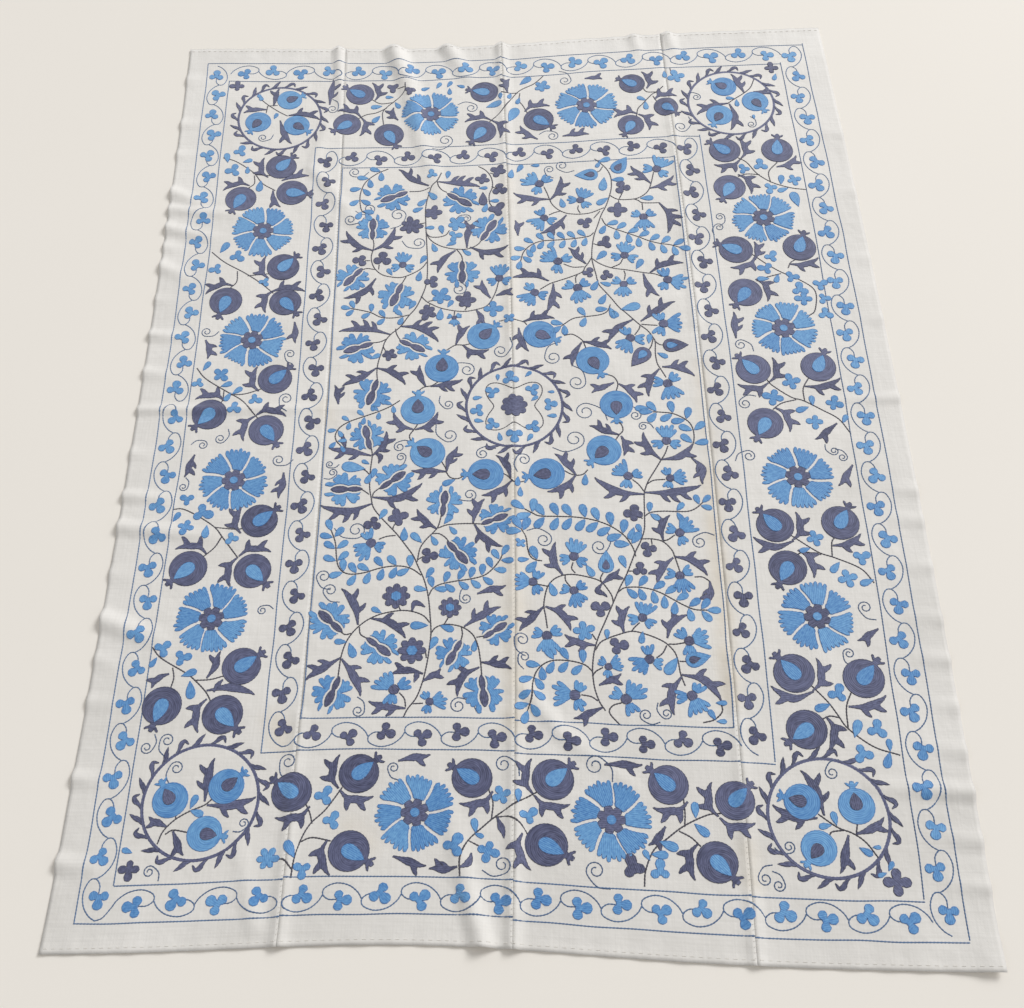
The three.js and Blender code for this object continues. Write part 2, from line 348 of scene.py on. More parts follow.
rows = round(2 * HALF_LENGTH / CELL)
ROW_LINES = np.linspace(-HALF_LENGTH, HALF_LENGTH, rows + 1)
strip_sides = [-HALF_WIDTH, *SEAMS_AT, HALF_WIDTH]
column_lines = []
for i in range(len(strip_sides) - 1):
    left = strip_sides[i] + (SEAM_GAP / 2 if i else 0)
    right = strip_sides[i + 1] - (SEAM_GAP / 2 if i < len(SEAMS_AT) else 0)
    columns = round((right - left) / CELL)
    column_lines.append(np.linspace(left, right, columns + 1))
    grid = bmesh.new()
    bmesh.ops.create_grid(grid, x_segments=columns, y_segments=rows, size=1)
    sheet = bpy.data.meshes.new(f"cotton_strip_{i + 1}")
    grid.to_mesh(sheet)
    grid.free()
    flat = np.zeros(3 * len(sheet.vertices))
    sheet.vertices.foreach_get("co", flat)
    flat = flat.reshape(-1, 3)
    flat[:, 0] = left + (flat[:, 0] + 1) / 2 * (right - left)
    flat[:, 1] *= HALF_LENGTH
    lay_mesh(sheet, flat, "flat", flat)
    # Share of the marks that are partly stains and partly painted crease shade.
    stain_and_shade_share = np.zeros(len(flat))
    for u0, v0, u1, v1, half, strength in STAINS_AND_SHADE:
        offset = beside(flat[:, 0], flat[:, 1], u0, v0, u1, v1)[1]
        stain_and_shade_share = np.maximum(stain_and_shade_share, strength * hump(offset, half))
    layer = sheet.attributes.new("stain_and_shade", "FLOAT", "POINT")
    layer.data.foreach_set("value", stain_and_shade_share)
    strip = add_piece(f"cotton_strip_{i + 1}", sheet, cotton)
    thickness = strip.modifiers.new("cloth_thickness", "SOLIDIFY")
    thickness.thickness = SHEET / 1000
    thickness.offset = -1
    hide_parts(f"strip_{i + 1}")
COLUMN_LINES = np.concatenate(column_lines)

# The border lines
# Four plain frames bound the two bands of the border. Each is one row of chain stitch, worked with
# a hook in slate-blue cotton thread on each strip before the strips are joined, so a line across
# the cloth jumps by a few millimetres at a seam.
LINE_STEP, CURVE_PARTS = 3.0, 8
LINE_WIDTH, LINE_RISE, SUNK = 3.2, 0.9, -0.3
STITCH_SWELL = 0.2
RIM_ANGLE = 50
LINE_WANDER, WANDER_STEP = 1.2, 75
# Painted light: how much lighter the thread is painted towards the far end, standing in for the sheen seen
# there.
THREAD_FAR_LIGHT = 0.3
SEAM_JUMPS = (0, 2.5, -1.5, -4)
# Frames: left u, right u, near v, far v
BORDER_FRAMES = [(-749, 751, -1046, 1043), (-690, 689, -982, 980),
                 (-457, 466, -752, 752), (-389, 399, -690, 687)]
hand = random.Random(7)


def new_work():
    """Empty lists for one piece of sewing: flat places, stitch places and faces."""
    return {"flat": [], "stitch": [], "faces": [], "count": 0}


def add_part(work, flat, across, along, faces, tone):
    """Adds one sewn part, of one shade of thread painted lighter towards the far end as painted sheen, to a
    piece of sewing.
    """
    work["flat"].append(flat)
    work["stitch"].append(np.stack([across, along, tone + THREAD_FAR_LIGHT * flat[:, 1] / HALF_LENGTH], axis=1))
    work["faces"] += [[work["count"] + corner for corner in face] for face in faces]
    work["count"] += len(flat)


def smooth_path(points, step=LINE_STEP, closed=False):
    """Points about one step apart along a soft curve through the given points."""
    spots = np.array(points, dtype=float)
    before, after = 2 * spots[:1] - spots[1:2], 2 * spots[-1:] - spots[-2:-1]
    if closed:
        before, after = spots[-1:], spots[:2]
    guides = np.vstack([before, spots, after])
    t = np.linspace(0, 1, CURVE_PARTS + 1)[:-1, None]
    curve = [0.5 * (2 * p1 + (p2 - p0) * t + (2 * p0 - 5 * p1 + 4 * p2 - p3) * t ** 2
                    + (3 * p1 - p0 - 3 * p2 + p3) * t ** 3)
             for p0, p1, p2, p3 in zip(guides, guides[1:], guides[2:], guides[3:])]
    curve = np.vstack([*curve, spots[:1] if closed else spots[-1:]])
    run = np.concatenate([[0], np.cumsum(np.hypot(*np.diff(curve, axis=0).T))])
    marks = np.linspace(0, run[-1], max(2, round(run[-1] / step)) + 1)
    return np.stack([np.interp(marks, run, curve[:, k]) for k in (0, 1)], axis=1)


def left_of(path):
    """Unit vectors to the left of a path at its points."""
    forward = np.gradient(path, axis=0)
    forward /= np.hypot(*forward.T)[:, None]
    return np.stack([-forward[:, 1], forward[:, 0]], axis=1)


def chain_line(work, path, width=LINE_WIDTH, rise=LINE_RISE, tone=None):
    """Adds a row of chain stitch along a path: a low ridge that swells at every stitch."""
    ribbon = bmesh.new()
    bmesh.ops.create_grid(ribbon, x_segments=2, y_segments=len(path) - 1, size=1)
    corners = np.array([corner.co for corner in ribbon.verts])
    faces = [[corner.index for corner in face.verts] for face in ribbon.faces]
    ribbon.free()
    at = np.rint((corners[:, 1] + 1) / 2 * (len(path) - 1)).astype(int)
    swell = STITCH_SWELL * LINE_WIDTH / width
    across = corners[:, 0] * width / 2 * (1 + swell * np.cos(np.pi * at))
    above = np.where(np.abs(corners[:, 0]) < 0.5, rise, SUNK)
    flat = np.column_stack([path[at] - left_of(path)[at] * across[:, None], above])
    add_part(work, flat, across, at * LINE_STEP, faces, hand.random() if tone is None else tone)


def sew_piece(name, work, material):
    """Lays a finished piece of sewing on the cloth."""
    mesh = bpy.data.meshes.new(name)
    flat = np.vstack(work["flat"])
    mesh.from_pydata(flat.tolist(), [], work["faces"])
    lay_mesh(mesh, flat, "stitch", np.vstack(work["stitch"]))
    mesh.set_sharp_from_angle(angle=math.radians(RIM_ANGLE))
    return add_piece(name, mesh, material)


# Embroidery thread: soft two-ply cotton with a low sheen. Rows of stitches show as fine lines along
# the shape, with painted shade in the grooves between rows, and the thread is a little lighter or darker
# where the dye took unevenly. The rows lie 1.2 mm apart and are drawn 3.4 mm apart so that they show.
ROW_PITCH = 3.4
DYE_ACROSS, DYE_ALONG, DYE_APART = 3.4, 6, 40
ROW_GROOVE_SHADE, PART_SHADE = 0.06, 0.22
DARKEST_DYE, LIGHTEST_DYE = 0.26, 0.94


def thread_material(name, light, dark):
    """Thread of one dye, between a light and a dark shade."""
    material, tree = new_material(name)
    stitch = add_node(tree, "ShaderNodeAttribute", attribute_name="stitch")
    size = add_node(tree, "ShaderNodeMapping", {
        "Vector": stitch.outputs["Vector"], "Scale": (1 / DYE_ACROSS, 1 / DYE_ALONG, DYE_APART)})
    dye = add_node(tree, "ShaderNodeTexNoise", {"Vector": size.outputs["Vector"], "Scale": 1.0,
                                                "Detail": 2.0})
    parts = add_node(tree, "ShaderNodeSeparateXYZ", {"Vector": stitch.outputs["Vector"]})
    turn = add_node(tree, "ShaderNodeMath", {0: parts.outputs["X"], 1: 2 * math.pi / ROW_PITCH},
                    operation="MULTIPLY")
    row = add_node(tree, "ShaderNodeMath", {0: turn.outputs["Value"]}, operation="SINE")
    # Painted shade: the colour darkens and lightens with the same row stripes as the bump, shading the
    # grooves between rows.
    lit = add_node(tree, "ShaderNodeMath", {0: row.outputs["Value"], 1: ROW_GROOVE_SHADE,
                                            2: dye.outputs["Fac"]}, operation="MULTIPLY_ADD")
    # The part's tone includes the painted lighter far end.
    tone = add_node(tree, "ShaderNodeMath", {0: parts.outputs["Z"], 1: PART_SHADE,
                                             2: lit.outputs["Value"]}, operation="MULTIPLY_ADD")
    share = add_node(tree, "ShaderNodeMapRange", {"Value": tone.outputs["Value"],
                                                  "From Min": DARKEST_DYE, "From Max": LIGHTEST_DYE})
    colour = add_node(tree, "ShaderNodeMix", {"Factor": share.outputs["Result"], "A": linear(dark),
                                              "B": linear(light)}, data_type="RGBA")
    bump = add_node(tree, "ShaderNodeBump", {"Height": row.outputs["Value"], "Strength": 0.35,
                                             "Distance": 0.0004})
    shader = add_node(tree, "ShaderNodeBsdfPrincipled", {
        "Base Color": colour.outputs["Result"], "Roughness": 0.62, "IOR": 1.5, "Sheen Weight": 0.7,
        "Normal": bump.outputs["Normal"]})
    add_node(tree, "ShaderNodeOutputMaterial", {"Surface": shader.outputs["BSDF"]})
    return material


slate_thread = thread_material("slate_blue_thread", "#567aa6", "#38537a")
border_lines = new_work()
for left, right, near, far in BORDER_FRAMES:
    for u in (left, right):
        marks = np.linspace(near, far, round((far - near) / WANDER_STEP) + 1)
        wander = [(u + hand.uniform(-LINE_WANDER, LINE_WANDER), v) for v in marks]
        chain_line(border_lines, smooth_path(wander))
    for v in (near, far):
        for start, end, jump in zip(strip_sides, strip_sides[1:], SEAM_JUMPS):
            start, end = max(start, left), min(end, right)
            if end - start > LINE_STEP:
                marks = np.linspace(start, end, round((end - start) / WANDER_STEP) + 2)
                wander = [(u, v + jump + hand.uniform(-LINE_WANDER, LINE_WANDER)) for u in marks]
                chain_line(border_lines, smooth_path(wander))
sew_piece("border_lines", border_lines, slate_thread)

# The border vines
# Along each band winds a vine of chain stitch with a three-lobed leaf in every bend. The vine is
# slate blue. The leaves are filled with rows of couched thread, light blue in the outer band and
# indigo in the inner one.
VINE_SWAY, LEAF_TURN, LEAF_SWING, LEAF_SIZES = 23.5, 25, 25, (0.94, 1.08)
# A bend from its leaf's stalk to the next bend: shares of the pitch along and of the sway outwards
VINE_BEND = [(0.32, -0.18), (0.12, -0.16), (-0.03, 0.2), (0.01, 0.68), (0.29, 1.0), (0.61, 0.84),
             (0.85, 0.34), (0.97, -0.2)]
LEAF_ALONG, LEAF_OUT = 0.42, -0.24
# Ends of vines led round a corner to the next run: u and v of the places on the way
VINE_LINKS = [[(-714, -1041), (-701, -1036), (-688, -1019)], [(-420, -741), (-408, -738), (-397, -726)]]
# Filled shapes: rise, more for each layer, slope of the rim, least cut, run of round stitches in a radian
FILL_RISE, OVERLAY, RIM, LEAST_CUT, ROUND_RUN = 0.9, 0.5, 0.5, 0.001, 10
EDGE_STEP, EDGE_WIDTH, EDGE_RISE, EDGE_TONE = 3.5, 2.0, 0.15, -1.4
# Runs of the vines: u and v of the start, u and v of the end, number of leaves, side of the first bend
OUTER_BAND = [(-719, 28, -719, 1037, 15, -1), (-719, 14, -719, -1043, 15, -1),
              (-402, 1011, -690, 1011, 4, 1), (-388, 1011, 696, 1011, 16, -1),
              (720, 1031, 720, -1042, 30, 1),
              (-402, -1014, -690, -1014, 4, 1), (-388, -1014, 699, -1014, 16, -1)]
INNER_BAND = [(-425, 740, -425, -743, 22, 1), (-395, 720, 409, 720, 12, -1),
              (433, 740, 433, -743, 22, 1), (-395, -721, 411, -721, 12, -1)]
OUTER_LEAF, INNER_LEAF = 36, 35
# Three-lobed leaf: direction and share of the size of each lobe, then half the angle of a lobe, core
TREFOIL = [(0, 1.14), (106, 0.94), (-106, 1.0)]
TREFOIL_LOBE, TREFOIL_CORE = 46, 0.3
CORE_POINTS, LOBE_POINTS = 18, 10


def placed(outline, u, v, heading):
    """An outline drawn about the origin and along x, put at a place and turned to a heading."""
    turn = math.radians(heading)
    along = np.array((math.cos(turn), math.sin(turn)))
    left = np.array((-along[1], along[0]))
    return np.array((u, v)) + outline[:, :1] * along + outline[:, 1:] * left


def lobed(size, lobes, half, core=0.36, power=0.5):
    """A shape with lobes: their directions and shares of the size, and half their angle."""
    angles = np.linspace(-math.pi, math.pi, CORE_POINTS + LOBE_POINTS * len(lobes), endpoint=False)
    radius = np.full(len(angles), core * size / 2)
    for direction, share in lobes:
        away = np.mod(angles - math.radians(direction) + math.pi, 2 * math.pi) - math.pi
        swell = np.clip(1 - (away / math.radians(half)) ** 2, 0, None) ** power
        radius = np.maximum(radius, size / 2 * (core + (share - core) * swell))
    return np.stack([radius * np.cos(angles), radius * np.sin(angles)], axis=1)


def fill(work, outline, grain=None, layer=0):
    """Adds a filled shape, cut where the cloth's mesh bends, and a darker row round its edge. Its
    stitches run along the grain, or round and round where it has none."""
    top = FILL_RISE + OVERLAY * layer
    chain_line(work, smooth_path(outline, EDGE_STEP, closed=True), EDGE_WIDTH, top + EDGE_RISE, EDGE_TONE)
    shape = bmesh.new()
    corners = [shape.verts.new((u, v, SUNK)) for u, v in outline]
    face = shape.faces.new(corners)
    face.normal_update()
    if face.normal.z < 0:
        face.normal_flip()
    bmesh.ops.inset_individual(shape, faces=[face], thickness=RIM,
                               depth=top - SUNK, use_even_offset=False)
    for axis, lines in ((0, COLUMN_LINES), (1, ROW_LINES)):
        first, last = np.searchsorted(lines, (outline[:, axis].min(), outline[:, axis].max()))
        facing = [0, 0, 0]
        facing[axis] = 1
        for line in lines[first:last]:
            bmesh.ops.bisect_plane(shape, geom=shape.verts[:] + shape.edges[:] + shape.faces[:],
                                   dist=LEAST_CUT, plane_co=[line * part for part in facing],
                                   plane_no=facing)
    bmesh.ops.triangulate(shape, faces=shape.faces[:])
    shape.verts.index_update()
    flat = np.array([corner.co for corner in shape.verts])
    faces = [[corner.index for corner in part.verts] for part in shape.faces]
    shape.free()
    u, v = (flat[:, :2] - outline.mean(axis=0)).T
    across, along = np.hypot(u, v), np.arctan2(v, u) * ROUND_RUN
    if grain is not None:
        turn = math.radians(grain)
        across = v * math.cos(turn) - u * math.sin(turn)
        along = u * math.cos(turn) + v * math.sin(turn)
    add_part(work, flat, across, along, faces, hand.random())


def vine(lines, leaves, start_u, start_v, end_u, end_v, count, first, size):
    """Adds a run of a vine: its bends, each ending on the next, and the leaves that they curl round."""
    start = np.array((start_u, start_v), dtype=float)
    run = np.array((end_u, end_v)) - start
    pitch = np.hypot(*run) / count
    along = run / np.hypot(*run)
    left = np.array((-along[1], along[0]))
    heading = math.degrees(math.atan2(along[1], along[0]))

    def at(bends, sway):
        return start + along * bends * pitch + left * sway * VINE_SWAY

    for k in range(count):
        side = first * (1 - 2 * (k % 2))
        chain_line(lines, smooth_path([at(k + on, out * side) for on, out in VINE_BEND]))
        turn = heading + side * LEAF_TURN + hand.uniform(-LEAF_SWING, LEAF_SWING)
        leaf = lobed(size * hand.uniform(*LEAF_SIZES), TREFOIL, TREFOIL_LOBE, TREFOIL_CORE)
        fill(leaves, placed(leaf, *at(k + LEAF_ALONG, LEAF_OUT * side), turn), turn)


blue_thread = thread_material("light_blue_thread", "#76b0e0", "#3c7abb")
indigo_thread = thread_material("indigo_thread", "#6b7095", "#2b2f51")
border_vines, outer_leaves, inner_leaves = new_work(), new_work(), new_work()
for run in OUTER_BAND:
    vine(border_vines, outer_leaves, *run, OUTER_LEAF)
for run in INNER_BAND:
    vine(border_vines, inner_leaves, *run, INNER_LEAF)
for link in VINE_LINKS:
    chain_line(border_vines, smooth_path(link))
sew_piece("border_vines", border_vines, slate_thread)
sew_piece("outer_vine_leaves", outer_leaves, blue_thread)
sew_piece("inner_vine_leaves", inner_leaves, indigo_thread)

# The rosettes
# Twelve round flowers stand in the border. Each has seven toothed light-blue petals with curved
# slits of bare cotton between them, an indigo heart of seven lobes and a blue dot in its middle.
PETALS, PETAL_TEETH, PETAL_NOTCH, PETAL_UNEVEN = 7, 6, 0.15, 0.45
PETAL_GAP, PETAL_CURL, PETAL_SWING, PETAL_SIZES = 6.4, 11, 1.5, (0.96, 1.03)
SIDE_POINTS, TOOTH_POINTS, TOOTH_BLUNT, TOOTH_REACH = 5, 6, 0.55, (-1, 0.4)
ROSETTE_TURN = 45
HEART, HEART_CLEAR, HEART_LOBE, HEART_CORE = 50, 1, 24, 0.7
DOT, DOT_LOBE, DOT_CORE = 17, 180, 0.9
# Rosettes: u, v, radius
ROSETTES = [
    (-568, 494, 75), (-568, 183, 74), (-573, -171, 74), (-583, -480, 74), (582, 494, 71),
    (587, 189, 70), (571, -174, 71), (571, -474, 71), (-175, 864, 72), (205, 866, 75),
    (-171, -867, 71), (174, -866, 71),
]


def petal(inner, outer, half, teeth, notch, gap=0.0, curl=0.0, uneven=0.0):
    """A fan-shaped petal about the x axis with a toothed edge; half angle and curl in degrees."""
    radii = np.linspace(inner, outer * (1 - notch), SIDE_POINTS)
    swing = math.radians(curl) * (radii - inner) / (outer - inner)
    spread = math.radians(half) - gap / 2 / radii
    sweep = np.linspace(-1, 1, TOOTH_POINTS * teeth + 1)[1:-1]
    reach = np.array([1 + uneven * hand.uniform(*TOOTH_REACH) for _ in range(teeth)])
    tooth = np.abs(np.sin(math.pi * teeth * (sweep + 1) / 2)) ** TOOTH_BLUNT
    tooth *= reach[np.minimum((teeth * (sweep + 1) / 2).astype(int), teeth - 1)]
    all_radii = np.concatenate([radii, outer * (1 - notch + notch * tooth), radii[::-1]])
    angles = np.concatenate([swing - spread, sweep * spread[-1] + swing[-1], (swing + spread)[::-1]])
    return np.stack([all_radii * np.cos(angles), all_radii * np.sin(angles)], axis=1)


def round_lobes(count):
    """Equal lobes all round."""
    return [(360 * k / count, 1.0) for k in range(count)]


rosette_petals, rosette_hearts, rosette_dots = new_work(), new_work(), new_work()
for u, v, radius in ROSETTES:
    first = hand.uniform(0, ROSETTE_TURN)
    for k in range(PETALS):
        turn = first + 360 / PETALS * k + hand.uniform(-PETAL_SWING, PETAL_SWING)
        shape = petal(HEART / 2 + HEART_CLEAR, radius * hand.uniform(*PETAL_SIZES), 180 / PETALS,
                      PETAL_TEETH, PETAL_NOTCH, PETAL_GAP, PETAL_CURL, PETAL_UNEVEN)
        fill(rosette_petals, placed(shape, u, v, turn), turn + PETAL_CURL / 2)
    heart = lobed(HEART, round_lobes(PETALS), HEART_LOBE, HEART_CORE)
    fill(rosette_hearts, placed(heart, u, v, first), first)
    dot = lobed(DOT, round_lobes(1), DOT_LOBE, DOT_CORE)
    fill(rosette_dots, placed(dot, u, v, first), first, layer=1)
sew_piece("rosette_petals", rosette_petals, blue_thread)
sew_piece("rosette_hearts", rosette_hearts, indigo_thread)
sew_piece("rosette_dots", rosette_dots, blue_thread)

# The wreaths
# A ring stands in each corner and one in the middle. Each is a band of indigo stitching set all
# round its outside with small hooked thorns.
RING_WIDTH, RING_STEP = 8, 30
THORNS, THORN_RISE, THORN_RUN, THORN_WIDTH, THORN_SWING = 22, 17, 14, 6, 2
# Spikes and curls by turns: shares of the run along the ring and of the rise from it
SPIKE = [(-0.7, 0.1), (-0.1, 0.3), (0.35, 0.7), (0.6, 1.05)]
CURL = [(-0.7, 0.1), (-0.15, 0.42), (0.2, 0.82), (0.62, 1.0), (0.92, 0.78)]
# Wreaths: u, v, radius
WREATHS = [(-552, 854, 104), (552, 852, 102), (-558, -838, 105), (547, -848, 103), (7, 2, 101)]
LEAF_STEP, LEAF_TIP, TIP_TURN, LEAF_FOOT, LEAF_LAYER = 3.5, 6, 0.5, 1.3, -0.3
# Swelling of a leaf from its foot and tapering to its tip: share of its length, hollowness of the edge
LEAF_SWELL, LEAF_TAPER = (0.5, 1.4), (0.4, 0.7)
# A hooked prong of a leaf: steps along the leaf from its root, shares of its length outwards and forwards
PRONG = [(0, 0.0, 0.0), (1, 0.45, 0.1), (1, 0.75, 0.4), (1, 0.95, 0.95), (2, 0.58, 0.55), (3, 0.12, 0.1)]
PRONG_SPAN, LAST_PRONG, PRONG_SPREAD = 4, 0.62, 0.34


def round_place(u, v, radius, angle):
    """A place on a circle, at an angle in degrees."""
    return u + radius * math.cos(math.radians(angle)), v + radius * math.sin(math.radians(angle))


def forked_leaf(work, points, width, forks=0, prong=0.0):
    """Adds a slender leaf along a curve, with prongs on its left, or on its right when negative."""
    spine = smooth_path(points, LEAF_STEP)
    left = left_of(spine)
    forward = np.stack([left[:, 1], -left[:, 0]], axis=1)
    share = np.linspace(0, 1, len(spine))
    swell = np.clip(share / LEAF_SWELL[0], 0, 1) ** LEAF_SWELL[1]
    taper = np.clip((1 - share) / LEAF_TAPER[0], 0, 1) ** LEAF_TAPER[1]
    half = LEAF_FOOT + width / 2 * (swell * taper)
    prong_side = 1 if forks >= 0 else -1
    count = abs(forks)
    roots = [round((LAST_PRONG - PRONG_SPREAD * k / max(1, count - 1)) * (len(spine) - 1))
             for k in range(count)]
    edges = []
    for side in (-1, 1):
        edge = spine + side * left * half[:, None]
        outline = []
        free = 0
        for k in range(len(spine) - 1):
            if side == prong_side and k in roots and free <= k < len(spine) - PRONG_SPAN:
                outline += [edge[k + step] + prong * (side * out * left[k] + on * forward[k])
                            for step, out, on in PRONG]
                free = k + PRONG_SPAN
            elif k >= free:
                outline.append(edge[k])
        edges.append(outline)
    tip = spine[-1] + LEAF_TIP * (forward[-1] - TIP_TURN * prong_side * left[-1])
    run = spine[-1] - spine[0]
    fill(work, np.array(edges[0] + [tip] + edges[1][::-1]), math.degrees(math.atan2(run[1], run[0])),
         layer=LEAF_LAYER)


wreath_rings = new_work()
for u, v, radius in WREATHS:
    circle = [round_place(u, v, radius, turn) for turn in range(0, 360, RING_STEP)]
    chain_line(wreath_rings, smooth_path(circle, closed=True), RING_WIDTH)
    for k in range(THORNS):
        angle = 360 / THORNS * k + hand.uniform(-THORN_SWING, THORN_SWING)
        lean = math.degrees(THORN_RUN / radius)
        hook = [round_place(u, v, radius + THORN_RISE * rise, angle - lean * run)
                for run, rise in (SPIKE, CURL)[k % 2]]
        forked_leaf(wreath_rings, hook, THORN_WIDTH)
sew_piece("wreath_rings", wreath_rings, indigo_thread)

# The pomegranates
# Round fruits with a spiked crown and a teardrop heart, filled with couched thread: indigo with
# blue hearts in the border, blue with indigo hearts in the wreaths and round the middle. One or two
# forked indigo leaves hold most fruits of the border from below.
CROWN_HALF, BODY_POINTS, DROP_POINTS = 14, 45, 22
# Half outline of the crown, in shares of the fruit's radius: along the heading, across it
CROWN = [(0.97, 0.17), (1.08, 0.14), (1.16, 0.24), (1.3, 0.38), (1.36, 0.33), (1.24, 0.14), (1.4, 0.09)]
# Hearts: length and width in shares of the fruit's width
BLUE_HEART, INDIGO_HEART = (0.64, 0.36), (0.5, 0.35)
HEART_FORWARD, HEART_TAPER = 0.13, 0.9
HOLD_CLEAR, HOLD_BEND, HOLD_WIDTH, HOLD_PRONG, HOLD_FORKS = 12, 4, 11, 15, 2
# Curve of a leaf that holds a fruit: angle from the foot of the fruit, share of the bend outwards
HOLD_CURVE = [(2, -1), (28, 0), (54, 0), (78, 1)]
# Border fruits: u, v, heading of the crown, width, sides that a leaf holds (L or R of the heading)
INDIGO_FRUITS = [
    (-538, 693, 50, 74, "L"), (-629, 592, 245, 74, "R"), (-507, 611, -5, 74, ""),
    (-513, 387, 48, 74, "L"), (-637, 291, 253, 74, "R"), (-501, 287, -50, 72, "R"),
    (-508, 79, 45, 74, "L"), (-642, -9, 228, 74, "R"), (-516, -51, -55, 74, "LR"),
    (-510, -267, 40, 74, "L"), (-643, -371, 222, 76, "R"), (-513, -379, -45, 74, "LR"),
    (-513, -580, 35, 74, ""), (-655, -655, 253, 74, ""), (-538, -675, -45, 76, "R"),
    (519, 700, 140, 72, "LR"), (640, 695, 82, 72, ""), (517, 587, 240, 72, "L"),
    (510, 405, 155, 74, "L"), (650, 406, 70, 72, ""), (517, 286, 235, 73, "L"),
    (511, 85, 130, 72, "LR"), (646, 88, 65, 72, ""), (521, -48, 240, 72, "L"),
    (514, -282, 130, 72, "R"), (640, -277, 60, 72, ""), (528, -373, 240, 72, "L"),
    (516, -586, 130, 74, "R"), (640, -595, 50, 74, ""), (527, -692, 215, 72, "L"),
    (-352, 935, 150, 70, "R"), (-382, 832, 215, 68, "LR"), (-278, 797, -65, 72, ""),
    (-42, 932, 165, 68, ""), (-53, 799, 235, 72, "LR"), (87, 829, -40, 72, "L"),
    (321, 930, 150, 62, "R"), (307, 794, 240, 62, "LR"), (396, 847, -45, 58, "L"),
    (-394, -827, 145, 72, "L"), (-275, -795, 40, 72, "LR"), (-283, -935, -30, 72, "R"),
    (-71, -802, 150, 72, "L"), (73, -799, 40, 74, "LR"), (61, -916, -25, 74, "R"),
    (276, -799, 140, 70, "L"), (390, -823, 45, 68, "LR"), (352, -930, -45, 70, "R"),
]
# Blue fruits: u, v, heading of the crown, width
BLUE_FRUITS = [
    (-57, 186, 45, 70), (-147, 102, 85, 72), (-196, -5, 90, 72), (-173, -113, 145, 72),
    (-53, -165, 180, 72), (65, 187, -25, 70), (176, 115, -65, 70), (220, 2, -92, 68),
    (189, -109, 225, 70), (71, -164, 190, 72), (-530, 915, 25, 62), (-605, 840, 240, 64),
    (-508, 829, -35, 64), (541, 905, 150, 60), (610, 853, -60, 62), (520, 813, 240, 62),
    (-613, -834, 122, 64), (-514, -812, 40, 64), (-543, -896, -10, 62), (505, -822, 165, 62),
    (597, -828, 95, 62), (525, -901, 230, 60),
]


def teardrop(length, width, taper=1.2):
    """A drop about the origin with its point to the back of the x axis, blunter for a lower taper."""
    turn = np.linspace(0, 2 * math.pi, DROP_POINTS, endpoint=False)
    belly = np.sin(turn) * np.abs(np.sin(turn / 2)) ** taper
    belly /= belly.max()
    return np.stack([-length / 2 * np.cos(turn), -width / 2 * belly], axis=1)


def fruit(bodies, hearts, u, v, heading, width, core):
    """Adds a pomegranate: its crowned body and its heart, of a length and width in shares of its own."""
    turn = np.radians(np.linspace(CROWN_HALF, 360 - CROWN_HALF, BODY_POINTS))
    round_body = np.stack([np.cos(turn), np.sin(turn)], axis=1)
    crown = np.array(CROWN)
    body = np.vstack([round_body, crown * (1, -1), crown[::-1]]) * width / 2
    fill(bodies, placed(body, u, v, heading))
    heart = teardrop(core[0] * width, core[1] * width, HEART_TAPER)
    place = round_place(u, v, HEART_FORWARD * width, heading)
    fill(hearts, placed(heart, *place, heading + 180), heading, layer=1)


indigo_fruits, blue_fruits = new_work(), new_work()
blue_hearts, indigo_hearts, fruit_leaves = new_work(), new_work(), new_work()
for u, v, heading, width, held in INDIGO_FRUITS:
    fruit(indigo_fruits, blue_hearts, u, v, heading, width, BLUE_HEART)
    for letter, side in (("L", 1), ("R", -1)):
        if letter in held:
            curve = [round_place(u, v, width / 2 + HOLD_CLEAR + HOLD_BEND * out,
                                 heading + 180 - side * turn) for turn, out in HOLD_CURVE]
            forked_leaf(fruit_leaves, curve, HOLD_WIDTH, HOLD_FORKS * side, HOLD_PRONG)
for u, v, heading, width in BLUE_FRUITS:
    fruit(blue_fruits, indigo_hearts, u, v, heading, width, INDIGO_HEART)
sew_piece("indigo_pomegranates", indigo_fruits, indigo_thread)
sew_piece("blue_pomegranate_hearts", blue_hearts, blue_thread)
sew_piece("blue_pomegranates", blue_fruits, blue_thread)
sew_piece("indigo_pomegranate_hearts", indigo_hearts, indigo_thread)
sew_piece("pomegranate_leaves", fruit_leaves, indigo_thread)

# The flowers of the field
# On the left half the branches carry mostly split flowers, two ragged blue wings round an indigo
# spindle. On the right half they carry fan flowers, a toothed blue fan and two small side petals
# round an indigo heart. All are couched, with slits of bare cotton between the parts of a flower.
SLIT = 5.2
# Fingers of a wing: direction from the tip of the flower round to its stem, share of the reach
WING_FINGERS = [(5, 1.2), (34, 0.94), (58, 0.98), (84, 1.0), (124, 0.98), (150, 0.96), (172, 0.84)]
WING_REACH, WING_WEB, FINGER_HALF, FINGER_SWING, FINGER_BLUNT = 0.38, 0.25, 13, 5, 0.55
WING_EDGE, WING_POINTS, WING_FORWARD, WING_STRETCH, WING_OUT = (3, 177), 70, 0.02, 1.1, 0.085
WING_GRAIN = 30
BITE_AT, BITE_SWING, BITE_HALF, BITE_DEPTH = 103, 8, 15, 0.15
# Swellings of a spindle: middle and half length in shares of the spindle, half width
SWELLINGS = [(0.25, 0.26, 0.065), (0.71, 0.3, 0.09)]
SPINDLE, SPINDLE_THIN, SPINDLE_BLUNT, SPINDLE_POINTS = 0.76, 0.02, 0.8, 19
INNER_EDGE, INNER_POINTS = (0.04, 0.98), 13
# Petals of a fan flower: outer radius in shares of its size, half angle, teeth, depth of the notches
FAN_PETAL, SIDE_PETAL = (0.54, 42, 5, 0.34), (0.41, 31, 3, 0.32)
FAN_SLIT, FAN_UNEVEN, SIDE_TURN = 2.0, 0.5, (104, 122)
